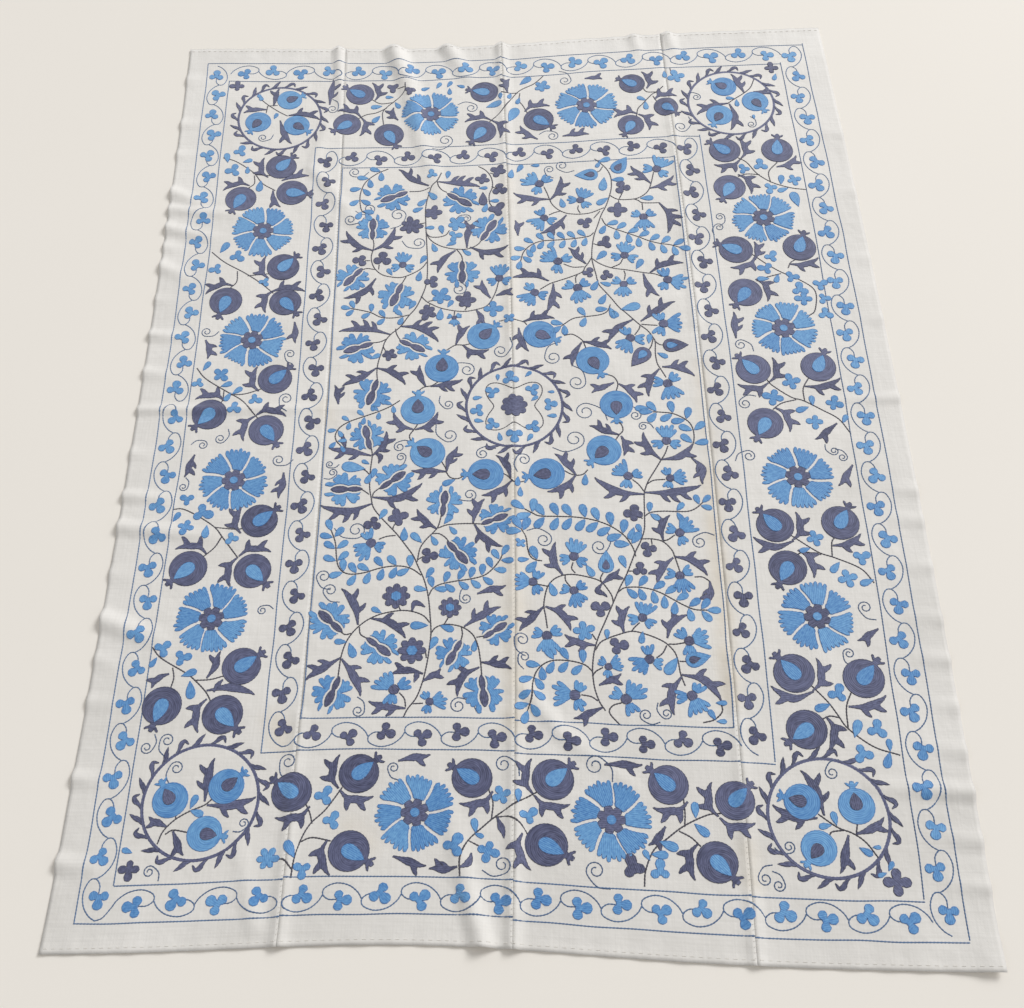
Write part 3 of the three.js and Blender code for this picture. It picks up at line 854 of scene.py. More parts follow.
# Heart of a fan flower: radius in shares of the flower's size, width in radii, lobes (direction, share)
FAN_HEART, FAN_HEART_SIZE, FAN_HEART_LOBES = 0.125, 2.1, [(0, 1.0), (180, 0.9)]
FAN_HEART_LOBE, FAN_HEART_CORE = 120, 0.7
# Round flower and its heart: share of the size, lobes, half the angle of a lobe, core, bluntness
ROUND_FLOWER, ROUND_HEART = (1.0, 8, 24, 0.6, 0.8), (0.38, 6, 36, 0.7, 0.5)
# Bud and its heart, in shares of the bud's length: length, width, way towards the blunt end
BUD, BUD_HEART = (1.0, 0.62, 0.0), (0.45, 0.3, 0.14)
# Split flowers: u, v, heading from the stem to the tip, length
SPLIT_FLOWERS = [
    (-262, 597, 204, 92), (-108, 583, -35, 92), (-310, 498, 90, 84), (-42, 487, 60, 92),
    (-103, 367, -90, 86), (-350, 357, 231, 84), (-250, 305, 250, 90), (-330, 160, 200, 90),
    (-212, 163, -28, 84), (-294, 42, 255, 90), (-300, -72, 103, 80), (-337, -197, 180, 86),
    (-243, -177, 38, 85), (-137, -233, 85, 80), (-35, -270, 22, 76), (-108, -345, -50, 84),
    (-350, -492, 137, 88), (-254, -546, -38, 80), (-110, -559, 243, 76), (-33, -512, 36, 72),
    (-335, -636, 250, 84), (-54, -635, -82, 84),
]
# Fan flowers: u and v of the heart, heading, size
FAN_FLOWERS = [
    (-238, 390, 90, 68), (-20, 345, 85, 74), (-121, 238, -90, 44), (-280, -322, 225, 80),
    (-220, -634, 138, 80), (-153, -658, 10, 60), (80, 622, 145, 84), (172, 566, 65, 72),
    (87, 517, 225, 76), (355, 650, 60, 82), (313, 508, -90, 76), (262, 398, 80, 74),
    (113, 388, 140, 82), (352, 326, -15, 80), (58, 302, 230, 78), (153, 312, -80, 82),
    (255, 318, -95, 70), (333, 207, 0, 82), (260, 172, 235, 78), (330, 53, -75, 80),
    (317, -88, 85, 74), (235, -170, 135, 74), (318, -175, 5, 66), (328, -298, 45, 72),
    (120, -352, 80, 74), (40, -408, 175, 70), (118, -425, -70, 68), (322, -390, -80, 70),
    (65, -520, -85, 76), (246, -480, 75, 68), (330, -525, 15, 76), (255, -563, 215, 72),
    (328, -632, -65, 76), (178, -580, 20, 56), (115, -638, 175, 80), (208, -643, 45, 80),
]
# Small round flowers, indigo with a blue heart: u, v, heading, size
ROUND_FLOWERS = [(-225, -440, 90, 54), (-120, -465, 90, 44), (-190, -555, 180, 54)]
# Buds: u, v, heading, length, colours of the drop and of its heart (B blue, I indigo)
BUDS = [
    (190, 642, 0, 54, "BI"), (272, 668, 235, 56, "BI"), (355, 150, 180, 54, "IB"),
    (276, 120, 50, 58, "IB"), (182, -362, 268, 48, "BI"), (345, -560, 195, 48, "BI"),
]


def spindle_half(share):
    """Half width of a spindle along it: two swellings in a row, in shares of the flower's length."""
    half = np.zeros(len(share))
    for middle, reach, wide in SWELLINGS:
        swell = np.clip(1 - ((share - middle) / reach) ** 2, SPINDLE_THIN, None) ** SPINDLE_BLUNT
        half = np.maximum(half, wide * swell)
    return half


def split_wing(length, side):
    """One ragged wing of a split flower, along the x axis on one side of it."""
    angles = np.linspace(*WING_EDGE, WING_POINTS)
    reach = np.full(len(angles), WING_WEB)
    for direction, share in WING_FINGERS:
        away = (angles - direction + hand.uniform(-FINGER_SWING, FINGER_SWING)) / FINGER_HALF
        swell = np.clip(1 - away ** 2, 0, None) ** FINGER_BLUNT
        reach = np.maximum(reach, WING_WEB + (WING_REACH * share - WING_WEB) * swell)
    bite = np.abs(angles - BITE_AT - hand.uniform(-BITE_SWING, BITE_SWING))
    reach -= BITE_DEPTH * hump(bite, BITE_HALF)
    turn = np.radians(angles)
    ragged = np.stack([WING_FORWARD + WING_STRETCH * reach * np.cos(turn),
                       WING_OUT + reach * np.sin(turn)], axis=1)
    share = np.linspace(*INNER_EDGE, INNER_POINTS)
    inner = np.stack([SPINDLE * (share - 0.5), spindle_half(share) + SLIT / length], axis=1)
    return np.vstack([ragged, inner]) * np.array((length, side * length))


def spindle(length):
    """The core of a split flower, pointed at both ends."""
    share = np.linspace(0, 1, SPINDLE_POINTS)
    right = np.stack([SPINDLE * (share - 0.5), -spindle_half(share)], axis=1)
    return np.vstack([right, right[-2:0:-1] * (1, -1)]) * length


def fan_petal(work, u, v, heading, size, form):
    """Adds one petal of a fan flower."""
    outer, half, teeth, notch = form
    shape = petal(FAN_HEART * size + FAN_SLIT, outer * size, half, teeth, notch, uneven=FAN_UNEVEN)
    fill(work, placed(shape, u, v, heading), heading)


def round_part(work, u, v, heading, size, form, layer=0):
    """Adds a round flower or its heart."""
    part, lobes, half, core, power = form
    shape = lobed(part * size, round_lobes(lobes), half, core, power)
    fill(work, placed(shape, u, v, heading), heading, layer)


def bud_part(work, u, v, heading, size, form, layer=0):
    """Adds a bud or its heart."""
    length, width, forward = form
    place = round_place(u, v, forward * size, heading)
    fill(work, placed(teardrop(length * size, width * size), *place, heading), heading, layer)


flower_blue, flower_indigo, flower_tops = new_work(), new_work(), new_work()
for u, v, heading, length in SPLIT_FLOWERS:
    for side in (-1, 1):
        fill(flower_blue, placed(split_wing(length, side), u, v, heading), heading + WING_GRAIN * side)
    fill(flower_indigo, placed(spindle(length), u, v, heading), heading)
for u, v, heading, size in FAN_FLOWERS:
    fan_petal(flower_blue, u, v, heading, size, FAN_PETAL)
    for side in (-1, 1):
        turn = heading + side * hand.uniform(*SIDE_TURN)
        fan_petal(flower_blue, u, v, turn, size, SIDE_PETAL)
    heart = lobed(FAN_HEART_SIZE * (FAN_HEART * size), FAN_HEART_LOBES, FAN_HEART_LOBE, FAN_HEART_CORE)
    fill(flower_indigo, placed(heart, u, v, heading), heading)
for u, v, heading, size in ROUND_FLOWERS:
    round_part(flower_indigo, u, v, heading, size, ROUND_FLOWER)
    round_part(flower_tops, u, v, heading, size, ROUND_HEART, layer=1)
sew_piece("blue_flower_petals", flower_blue, blue_thread)
bud_blue, bud_indigo = new_work(), new_work()
for u, v, heading, length, colours in BUDS:
    drop, heart = (bud_blue, bud_indigo) if colours == "BI" else (bud_indigo, bud_blue)
    bud_part(drop, u, v, heading, length, BUD)
    bud_part(heart, u, v, heading, length, BUD_HEART, layer=1)
sew_piece("indigo_flower_hearts", flower_indigo, indigo_thread)
sew_piece("round_flower_hearts", flower_tops, blue_thread)
sew_piece("blue_buds", bud_blue, blue_thread)
sew_piece("indigo_buds", bud_indigo, indigo_thread)

# The forked leaves
# Long indigo leaves with one straight edge and a few pointed forks grow in pairs from the branches
# and between the border motifs. They are filled along their length. Small sprigs of a few lobes,
# filled in the same indigo thread, stand among them.
LEAF_WIDTH, LEAF_PRONG = 12, 15
# Scale of a leaf's width and prongs: least, length that adds one to it, most
LEAF_SCALE = (0.55, 150, 1.15)
# Leaves: u and v of the foot, u and v of the tip, bulge to the left, forks (on the left when positive)
FORKED_LEAVES = [
    (-180, 628, -247, 681, 6, -2), (-157, 638, -64, 624, 4, 3), (-308, 434, -371, 487, 12, 2),
    (-308, 434, -258, 497, -12, -2), (-92, 437, -68, 517, 10, 1), (-85, 438, -2, 432, -14, -2),
    (-118, 430, -159, 372, -8, -1), (-298, 352, -363, 297, 12, 2), (-262, 195, -370, 207, -10, -3),
    (-240, 217, -157, 178, 14, 3), (-288, 105, -357, 63, 4, -2), (-287, 105, -226, 66, 8, 3),
    (-117, 165, -92, 212, 4, 1), (-102, 163, -50, 146, -12, -2), (-180, 54, -196, 105, 4, 1),
    (-170, 55, -106, 68, -2, -3), (-40, 290, -60, 336, 4, 1), (-28, 297, 4, 309, 0, -1),
    (-72, 258, -57, 223, 2, -1), (-366, 12, -373, 57, 0, -2), (-203, -55, -247, -17, 10, 2),
    (-200, -55, -154, -17, -10, -2), (-133, -157, -112, -103, 6, -2), (-133, -158, -200, -157, -2, 2),
    (0, -182, -55, -215, 6, 2), (-2, -175, -26, -122, -6, -1), (-290, -117, -375, -100, -2, 2),
    (-345, -98, -353, -68, 0, 0), (-288, -117, -259, -64, -8, -2), (-282, -112, -271, -131, 6, 0),
    (-283, -217, -185, -190, -17, -2), (-283, -232, -383, -238, 14, 3), (-150, -292, -190, -252, 4, 2),
    (-78, -278, -60, -226, 4, 2), (-75, -282, -25, -331, -8, -2), (-296, -500, -328, -425, -8, -2),
    (-271, -487, -205, -524, 10, 2), (-193, -472, -172, -460, 12, 0), (-92, -505, -28, -463, 2, 2),
    (-68, -435, -17, -420, 2, -1), (-58, -578, -6, -587, 2, 2), (-62, -588, -103, -641, -13, -2),
    (-325, -568, -385, -607, 0, -2), (-323, -570, -282, -640, 4, 2), (-167, -602, -223, -600, -6, -1),
    (-178, -595, -180, -614, 0, 0), (-167, -617, -137, -597, 0, -1), (-197, -671, -262, -660, 2, 2),
    (102, 570, 132, 636, -8, -2), (100, 573, 22, 592, 6, 2), (338, 607, 297, 657, 0, 2),
    (335, 592, 390, 622, -6, -2), (352, 548, 367, 462, 14, 3), (25, 467, 23, 508, 0, -1),
    (138, 523, 82, 472, 6, 2), (175, 378, 143, 423, 2, -2), (315, 347, 385, 373, 10, 2),
    (90, 333, 15, 347, -12, -2), (100, 325, 86, 252, 4, 2), (300, 345, 325, 285, -6, -1),
    (285, 215, 357, 265, 2, 2), (268, 220, 213, 168, -8, -1), (30, 222, 94, 232, 6, 2),
    (20, 205, 36, 146, -4, -2), (157, 165, 214, 148, 2, 2), (155, 163, 131, 107, -4, -1),
    (228, 54, 263, 12, 6, 2), (218, 57, 174, 37, 0, -1), (322, 95, 385, 75, 8, 3),
    (315, 90, 287, 27, -8, -2), (303, -132, 270, -72, 8, 3), (305, -132, 368, -100, -10, -1),
    (365, -128, 380, -184, 12, -2), (264, -212, 170, -178, 12, 4), (265, -208, 374, -195, -6, -3),
    (222, -72, 168, -50, 2, -2), (226, -75, 232, -117, 4, 2), (130, -167, 94, -119, -2, -2),
    (130, -167, 77, -207, 8, 2), (295, -315, 307, -262, 8, 2), (98, -393, 82, -325, 10, 2),
    (172, -410, 205, -383, 0, -1), (172, -410, 178, -433, -12, 0), (312, -352, 278, -403, -6, -2),
    (315, -350, 373, -384, 10, 2), (378, -402, 370, -447, 4, -2), (60, -460, 15, -508, 0, -2),
    (63, -460, 110, -503, 10, 2), (155, -538, 102, -522, 4, 2), (210, -512, 218, -460, 8, 2),
    (290, -520, 325, -473, 10, 2), (312, -592, 379, -635, 14, 2), (312, -595, 291, -665, -10, -2),
    (160, -617, 198, -598, 0, -1), (165, -660, 118, -683, 0, 1), (-428, 900, -420, 980, 2, -2),
    (142, 770, 200, 774, 2, 3), (207, 957, 245, 955, 2, 1), (-205, -945, -152, -962, 0, -1),
    (-205, -772, -152, -763, 2, -1), (-25, -872, -12, -903, 0, 0), (-88, -963, -68, -942, -5, -1),
    (165, -768, 227, -767, 2, -1), (-672, 185, -660, 140, 4, 2), (-476, 232, -473, 180, 2, -1),
    (-256, 846, -270, 884, 6, 2), (82, 764, 42, 806, 4, 2), (15, 922, 18, 968, 4, 2),
    (267, -873, 242, -905, 2, 1), (-92, -962, -136, -964, 4, -2), (-537, 316, -463, 321, 10, 2),
    (546, -316, 473, -312, 15, 1), (547, -621, 475, -616, 16, 1), (-534, 649, -474, 666, 5, 1),
    (-553, 618, -537, 570, -6, -1), (-577, -602, -560, -553, -5, 1), (-574, -627, -486, -634, 9, 0),
    (-560, -630, -550, -609, 0, 0), (-650, -592, -679, -614, -5, -1), (632, 644, 680, 672, -8, -2),
    (549, 375, 556, 421, -4, -2), (622, 361, 684, 372, -8, -2), (612, 40, 684, 55, -9, -2),
    (619, -326, 673, -306, -7, -2), (606, -649, 672, -632, -8, -2),
    (-662, -108, -674, -157, -2, 2), (-470, -155, -477, -210, 4, -2), (484, 165, 488, 229, 2, -2),
    (682, -148, 653, -192, 0, 1), (665, -50, 622, -86, 0, 1), (680, -498, 645, -521, 0, 1),
    (-570, 895, -562, 950, 0, 1), (-530, 862, -455, 853, 10, 2), (-585, 882, -640, 875, -4, -1),
    (-550, 845, -522, 772, -4, -1), (588, 882, 568, 942, 0, -2), (545, 850, 470, 822, -8, -2),
    (548, 848, 545, 768, 10, 1), (610, 885, 645, 880, 0, 1), (-550, -838, -545, -763, 2, 2),
    (-545, -845, -462, -837, -6, -2), (-612, -882, -643, -868, 0, 1), (-600, -890, -580, -930, 0, -1),
    (540, -845, 513, -770, -6, -2), (528, -850, 457, -833, 8, 2), (590, -876, 638, -852, -4, -1),
    (577, -878, 560, -938, 0, 1),
]
# Forms of sprigs (round, pointed and slender): share of the spread that a lobe fills, bluntness, core
SPRIG_FORMS = {"R": (0.62, 0.5, 0.28), "P": (0.6, 1.2, 0.42), "S": (0.56, 0.8, 0.3)}
SINGLE_LEAF, SPRIG_SIZE, LOBE_WIDER = 0.48, 1.15, 3
# Spread of a sprig's lobes: least, more for each lobe, most
SPRIG_SPREAD = (130, 35, 300)
# Lengths of a sprig's lobes: range of the shares, how much shorter a lobe is far from the heading
LOBE_SIZES, LOBE_SHORTER, LOBE_FAR = (0.86, 1.04), 0.18, 150
# Indigo sprigs: u, v, heading, size, number of lobes, form
INDIGO_SPRIGS = [
    (-220, 505, 100, 55, 7, "P"), (-170, 545, 0, 42, 5, "P"), (-335, 405, 180, 34, 3, "R"),
    (-285, 408, 85, 42, 3, "R"), (-15, 668, 110, 42, 4, "P"), (-14, 608, 90, 38, 3, "R"),
    (-22, 548, 50, 42, 3, "P"), (-53, 643, 120, 34, 4, "P"), (-53, 583, -90, 40, 1, "R"),
    (-172, 340, 60, 34, 3, "R"), (-95, 285, 80, 46, 5, "P"), (-180, 255, 250, 42, 5, "P"),
    (-262, 140, -20, 32, 5, "P"), (-278, -277, 200, 34, 3, "R"), (-230, -264, 60, 44, 4, "P"),
    (-165, -352, 0, 36, 3, "R"), (272, 598, 110, 38, 3, "R"), (256, 532, 220, 44, 4, "P"),
    (180, 497, 160, 36, 3, "R"), (220, 436, 70, 36, 3, "P"), (178, 352, 60, 28, 3, "R"),
    (220, 345, 220, 32, 3, "R"), (242, -257, 130, 38, 4, "R"), (266, -334, 250, 34, 3, "R"),
    (247, -379, 90, 32, 3, "R"), (168, -463, 150, 38, 3, "R"), (197, -538, 10, 36, 3, "R"),
    (-226, 938, 260, 30, 3, "P"), (-270, 958, 270, 32, 3, "P"), (210, -946, 110, 42, 3, "P"),
    (-667, 963, 135, 38, 4, "S"), (663, 962, 45, 36, 4, "S"),
    (-668, -955, 225, 38, 4, "S"), (648, -955, -45, 48, 4, "S"),
]


def sprig(work, u, v, heading, size, lobes, form="S"):
    """Adds a small leaf of one lobe or of several lobes spread about its heading."""
    if lobes == 1:
        shape = teardrop(size, SINGLE_LEAF * size)
    else:
        least, more, most = SPRIG_SPREAD
        spread = min(least + more * lobes, most)
        ways = np.linspace(-spread / 2, spread / 2, lobes)
        shares = [hand.uniform(*LOBE_SIZES) - LOBE_SHORTER * abs(way) / LOBE_FAR for way in ways]
        half, power, core = SPRIG_FORMS[form]
        shape = lobed(SPRIG_SIZE * size, list(zip(ways, shares)), half * spread / lobes + LOBE_WIDER,
                      core, power)
    fill(work, placed(shape, u, v, heading), heading)


forked_leaves, indigo_sprigs = new_work(), new_work()
for u0, v0, u1, v1, bow, forks in FORKED_LEAVES:
    length = math.hypot(u1 - u0, v1 - v0)
    middle = ((u0 + u1) / 2 - (v1 - v0) / length * bow, (v0 + v1) / 2 + (u1 - u0) / length * bow)
    scale = min(LEAF_SCALE[2], LEAF_SCALE[0] + length / LEAF_SCALE[1])
    forked_leaf(forked_leaves, [(u0, v0), middle, (u1, v1)], LEAF_WIDTH * scale, forks, LEAF_PRONG * scale)
for row in INDIGO_SPRIGS:
    sprig(indigo_sprigs, *row)
sew_piece("forked_leaves", forked_leaves, indigo_thread)
sew_piece("indigo_sprigs", indigo_sprigs, indigo_thread)

# The branches
# The trees of the field, the twigs of the border and the links of the ring are single rows of chain
# stitch in nearly black thread. Light-blue leaves sit in pairs along the long sprays and singly or
# in small sprigs on the other twigs.
BRANCH_WIDTH = 3.8
# Field branches: u and v of each point along the branch
BRANCHES = [
    [(-150, 668), (-160, 642), (-172, 628), (-178, 610), (-185, 580), (-188, 550), (-187, 520),
     (-186, 490), (-184, 450), (-182, 400), (-182, 360), (-184, 335), (-190, 310), (-205, 270),
     (-222, 245), (-240, 215), (-260, 195), (-272, 175), (-278, 150), (-285, 120), (-287, 95),
     (-285, 72)],
    [(-178, 622), (-200, 613), (-226, 612)], [(-160, 642), (-157, 625), (-148, 612), (-137, 606)],
    [(-62, 686), (-45, 672), (-33, 650), (-30, 620), (-38, 595), (-38, 570), (-30, 555)],
    [(-35, 663), (-22, 657)], [(-32, 620), (-22, 612)], [(-188, 515), (-205, 512)],
    [(-308, 466), (-306, 450), (-308, 434), (-311, 415), (-308, 395), (-300, 378), (-285, 363),
     (-265, 356), (-240, 354), (-215, 365), (-195, 380), (-182, 400)],
    [(-302, 378), (-320, 381), (-336, 375)], [(-230, 355), (-238, 338)], [(-293, 378), (-292, 392)],
    [(-313, 404), (-325, 404)],
    [(-186, 488), (-180, 470), (-168, 455), (-150, 443), (-130, 436), (-110, 433), (-92, 433),
     (-75, 440), (-65, 448), (-60, 456)],
    [(-183, 480), (-175, 472), (-155, 471), (-140, 477), (-132, 490)],
    [(-115, 432), (-105, 415), (-102, 400)],
    [(-195, 300), (-185, 287), (-172, 277), (-150, 265), (-120, 257), (-95, 255), (-70, 260),
     (-50, 268), (-38, 285), (-28, 310), (-22, 335)],
    [(-120, 257), (-121, 245)], [(-175, 278), (-178, 265)], [(-178, 285), (-165, 288)],
    [(-97, 258), (-92, 270)], [(-268, 183), (-282, 175), (-300, 172)],
    [(-250, 210), (-247, 195), (-238, 177)], [(-275, 160), (-270, 150)],
    [(-137, 150), (-118, 163), (-100, 163), (-86, 166)],
    [(-155, 66), (-168, 57), (-185, 53), (-197, 42), (-202, 32)],
    [(-196, -42), (-203, -55), (-212, -70), (-207, -86)],
    [(-143, -135), (-135, -150), (-133, -160), (-125, -172), (-110, -175), (-98, -168)],
    [(-17, -163), (-8, -170), (0, -180), (10, -186), (30, -180)],
    [(-22, 225), (0, 228), (30, 222), (38, 213)],
    [(163, 148), (158, 165), (150, 175), (135, 185), (118, 182)],
    [(222, 37), (226, 55), (218, 72), (200, 80)],
    [(214, -84), (222, -72), (230, -62), (228, -48), (220, -40)],
    [(107, -157), (120, -165), (132, -168), (145, -165), (154, -155)],
    [(-291, -97), (-288, -117), (-290, -150), (-290, -190), (-286, -215), (-280, -240), (-265, -262),
     (-245, -285), (-228, -305), (-210, -330), (-195, -352), (-185, -375), (-172, -405), (-163, -440),
     (-158, -480), (-155, -520), (-158, -560), (-162, -590), (-168, -620), (-178, -650), (-193, -672),
     (-200, -688)],
    [(-187, -365), (-182, -335), (-170, -315), (-155, -298), (-147, -285), (-141, -258)],
    [(-290, -165), (-298, -155), (-305, -150)], [(-290, -210), (-300, -202), (-308, -197)],
    [(-283, -215), (-280, -205), (-264, -191)], [(-232, -306), (-250, -308), (-265, -314)],
    [(-238, -293), (-237, -285), (-231, -275)],
    [(-147, -290), (-130, -283), (-100, -280), (-75, -280), (-57, -281)],
    [(-158, -303), (-145, -303), (-132, -312), (-124, -324)], [(-185, -360), (-175, -353)],
    [(-158, -497), (-170, -483), (-190, -474), (-215, -471), (-250, -477), (-275, -488), (-293, -502),
     (-308, -520), (-318, -540), (-324, -565), (-326, -590), (-327, -607)],
    [(-293, -505), (-290, -520), (-275, -530)], [(-308, -518), (-320, -520), (-330, -512)],
    [(-223, -452), (-218, -465), (-215, -471)], [(-122, -485), (-130, -500)],
    [(-175, -553), (-165, -557), (-162, -570)],
    [(-155, -520), (-147, -508), (-130, -501), (-110, -502), (-92, -508), (-75, -522), (-65, -545),
     (-60, -575), (-57, -606)],
    [(-97, -507), (-95, -520), (-97, -532)], [(-68, -527), (-52, -524)],
    [(-210, -640), (-200, -652), (-197, -668)], [(-165, -661), (-183, -662)],
    [(213, 690), (225, 677), (240, 655), (247, 630), (246, 600), (240, 575), (230, 545), (218, 520),
     (208, 490), (198, 460), (192, 430), (189, 400), (190, 380), (195, 350), (200, 320), (212, 300),
     (225, 280), (240, 255), (255, 238), (270, 220), (283, 205), (298, 190), (308, 172), (312, 160),
     (310, 130), (312, 105), (318, 90), (328, 68)],
    [(90, 612), (97, 590), (102, 570), (108, 555), (120, 540), (135, 530), (148, 526), (170, 524),
     (195, 527), (225, 540)],
    [(167, 550), (165, 540), (170, 527)], [(98, 525), (112, 532), (127, 536)],
    [(347, 640), (342, 620), (338, 605), (330, 585), (315, 570), (295, 562), (260, 563), (240, 577)],
    [(295, 562), (305, 557), (313, 550), (335, 548), (352, 548)], [(313, 550), (313, 528)],
    [(270, 582), (262, 565)], [(260, 545), (260, 560)], [(212, 648), (222, 652), (230, 665)],
    [(245, 658), (258, 658)], [(200, 510), (215, 530)], [(195, 435), (208, 428)],
    [(190, 392), (205, 378), (230, 365), (265, 357), (300, 348), (325, 343), (340, 335)],
    [(257, 388), (250, 375), (232, 366)], [(125, 380), (145, 370), (170, 370)],
    [(188, 395), (180, 380), (172, 368), (165, 355), (140, 343), (110, 332), (92, 325), (70, 310)],
    [(150, 325), (150, 340), (155, 350)], [(257, 330), (260, 345), (258, 355)],
    [(320, 203), (300, 205), (286, 207)], [(270, 180), (280, 195), (283, 205)],
    [(313, 160), (322, 152), (333, 152)], [(308, 168), (303, 150), (297, 140)],
    [(319, -100), (312, -118), (303, -133), (290, -155), (275, -180), (267, -200), (264, -215),
     (262, -260), (260, -290), (252, -315), (240, -340), (230, -365), (220, -390), (205, -420),
     (190, -455), (175, -490), (162, -520), (153, -550), (149, -580), (149, -600), (152, -625),
     (160, -650), (170, -666)],
    [(195, -692), (180, -675), (177, -665), (185, -655), (200, -650)],
    [(243, -178), (255, -190), (264, -205)], [(308, -178), (285, -180), (272, -188)],
    [(258, -267), (250, -262)],
    [(255, -312), (275, -312), (295, -318), (310, -335), (315, -350), (320, -370), (323, -383)],
    [(272, -313), (273, -324)], [(318, -303), (305, -313), (295, -316)],
    [(118, -365), (115, -378), (122, -388)],
    [(192, -447), (190, -435), (182, -420), (170, -405), (150, -397), (120, -391), (98, -393),
     (80, -402), (68, -418), (62, -440), (60, -460), (63, -480), (66, -505)],
    [(48, -413), (67, -417)], [(102, -393), (103, -405), (113, -419)],
    [(175, -387), (170, -398), (172, -408)], [(222, -382), (238, -382)],
    [(350, -393), (365, -393), (378, -402)],
    [(155, -548), (165, -532), (180, -523), (200, -515), (225, -508), (250, -513), (275, -523),
     (290, -533), (302, -548), (307, -565), (310, -590), (317, -614)],
    [(240, -490), (230, -500), (225, -507)], [(325, -528), (305, -532), (292, -532)],
    [(268, -560), (280, -550), (288, -535)], [(310, -566), (328, -566)], [(150, -515), (157, -527)],
    [(185, -524), (193, -532)], [(168, -582), (155, -590), (148, -600)],
    [(127, -637), (145, -640), (157, -648)], [(345, -683), (365, -677), (380, -662), (380, -648)],
]
# Border twigs: u and v of each point along the twig
TWIGS = [
    [(-683, 722), (-650, 710), (-605, 675), (-580, 640), (-548, 618)], [(-600, 668), (-562, 665)],
    [(-602, 665), (-600, 640), (-613, 626)],
    [(-683, 432), (-650, 402), (-600, 370), (-560, 340), (-530, 312)], [(-593, 362), (-545, 368)],
    [(-618, 375), (-617, 345), (-630, 328)],
    [(-683, 110), (-660, 82), (-610, 48), (-575, 25), (-550, -5), (-537, -20)],
    [(-605, 40), (-570, 42), (-533, 55)], [(-617, 50), (-617, 30), (-620, 20)],
    [(-690, -237), (-670, -237), (-635, -255), (-600, -280), (-580, -305), (-545, -350)],
    [(-600, -280), (-560, -285), (-540, -284)], [(-583, -303), (-595, -325), (-615, -345)],
    [(-690, -538), (-670, -560), (-620, -590), (-600, -605), (-575, -630), (-560, -655)],
    [(-600, -606), (-570, -605), (-543, -598)], [(-645, -580), (-640, -600), (-643, -620)],
    [(690, 573), (655, 580), (615, 598), (585, 625), (565, 660), (547, 675)],
    [(612, 598), (612, 630), (635, 658)], [(590, 622), (560, 625), (540, 618)],
    [(645, 220), (660, 235), (667, 285), (640, 315), (600, 340), (570, 365), (545, 390)],
    [(618, 350), (625, 365), (637, 373)], [(600, 335), (565, 325), (545, 316)],
    [(689, -75), (670, -40), (640, -18), (605, 5), (580, 15), (545, 45), (536, 60)],
    [(607, 5), (608, 35), (622, 60)], [(590, 8), (560, 0), (540, -15)],
    [(686, -405), (665, -375), (620, -352), (590, -340), (550, -310), (537, -300)],
    [(615, -350), (618, -320), (625, -308)], [(595, -345), (565, -340), (548, -345)],
    [(684, -737), (640, -722), (600, -690), (585, -665), (570, -640), (545, -610)],
    [(600, -690), (602, -650), (615, -620)], [(588, -670), (570, -667), (553, -675)],
    [(-238, 965), (-240, 940), (-262, 915), (-285, 890), (-295, 870), (-292, 832)],
    [(-268, 907), (-300, 903), (-322, 917)], [(-285, 888), (-310, 872), (-335, 865), (-354, 852)],
    [(-240, 953), (-258, 953)], [(105, 975), (80, 950), (40, 925), (0, 865), (-32, 830)],
    [(45, 920), (42, 895), (50, 880), (60, 854)], [(40, 922), (10, 922), (0, 925)],
    [(395, 915), (378, 898), (365, 890), (340, 860), (328, 845), (323, 822)],
    [(378, 898), (355, 900), (347, 912)], [(378, 900), (390, 885)], [(368, 885), (375, 868)],
    [(418, 978), (420, 960), (428, 950)],
    [(-380, -980), (-378, -950), (-370, -915), (-355, -885), (-330, -860), (-303, -820)],
    [(-352, -885), (-358, -865), (-366, -850)], [(-372, -918), (-350, -910), (-316, -917)],
    [(-410, -947), (-395, -948), (-380, -965)],
    [(-87, -978), (-88, -945), (-75, -915), (-50, -890), (-30, -872), (0, -850), (30, -832), (45, -823)],
    [(-35, -875), (-33, -845), (-41, -822)], [(-30, -872), (-5, -870), (15, -880), (28, -899)],
    [(-75, -915), (-60, -922), (-48, -928)],
    [(227, -977), (230, -950), (245, -915), (270, -893), (300, -870), (340, -850), (364, -846)],
    [(300, -872), (302, -850), (301, -824)], [(290, -880), (310, -890), (326, -905)],
    [(-612, 935), (-600, 915), (-580, 895), (-555, 875), (-532, 860)], [(-585, 895), (-587, 870)],
    [(-583, 895), (-560, 897)], [(618, 930), (605, 900), (585, 880), (560, 862), (545, 850)],
    [(-625, -912), (-618, -890), (-600, -870), (-575, -855), (-550, -845), (-537, -834)],
    [(-598, -868), (-600, -858)], [(-613, -895), (-600, -888), (-573, -893)],
    [(622, -915), (605, -890), (585, -875), (560, -865), (530, -843)], [(590, -878), (594, -860)],
    [(570, -870), (550, -873), (545, -880)],
]
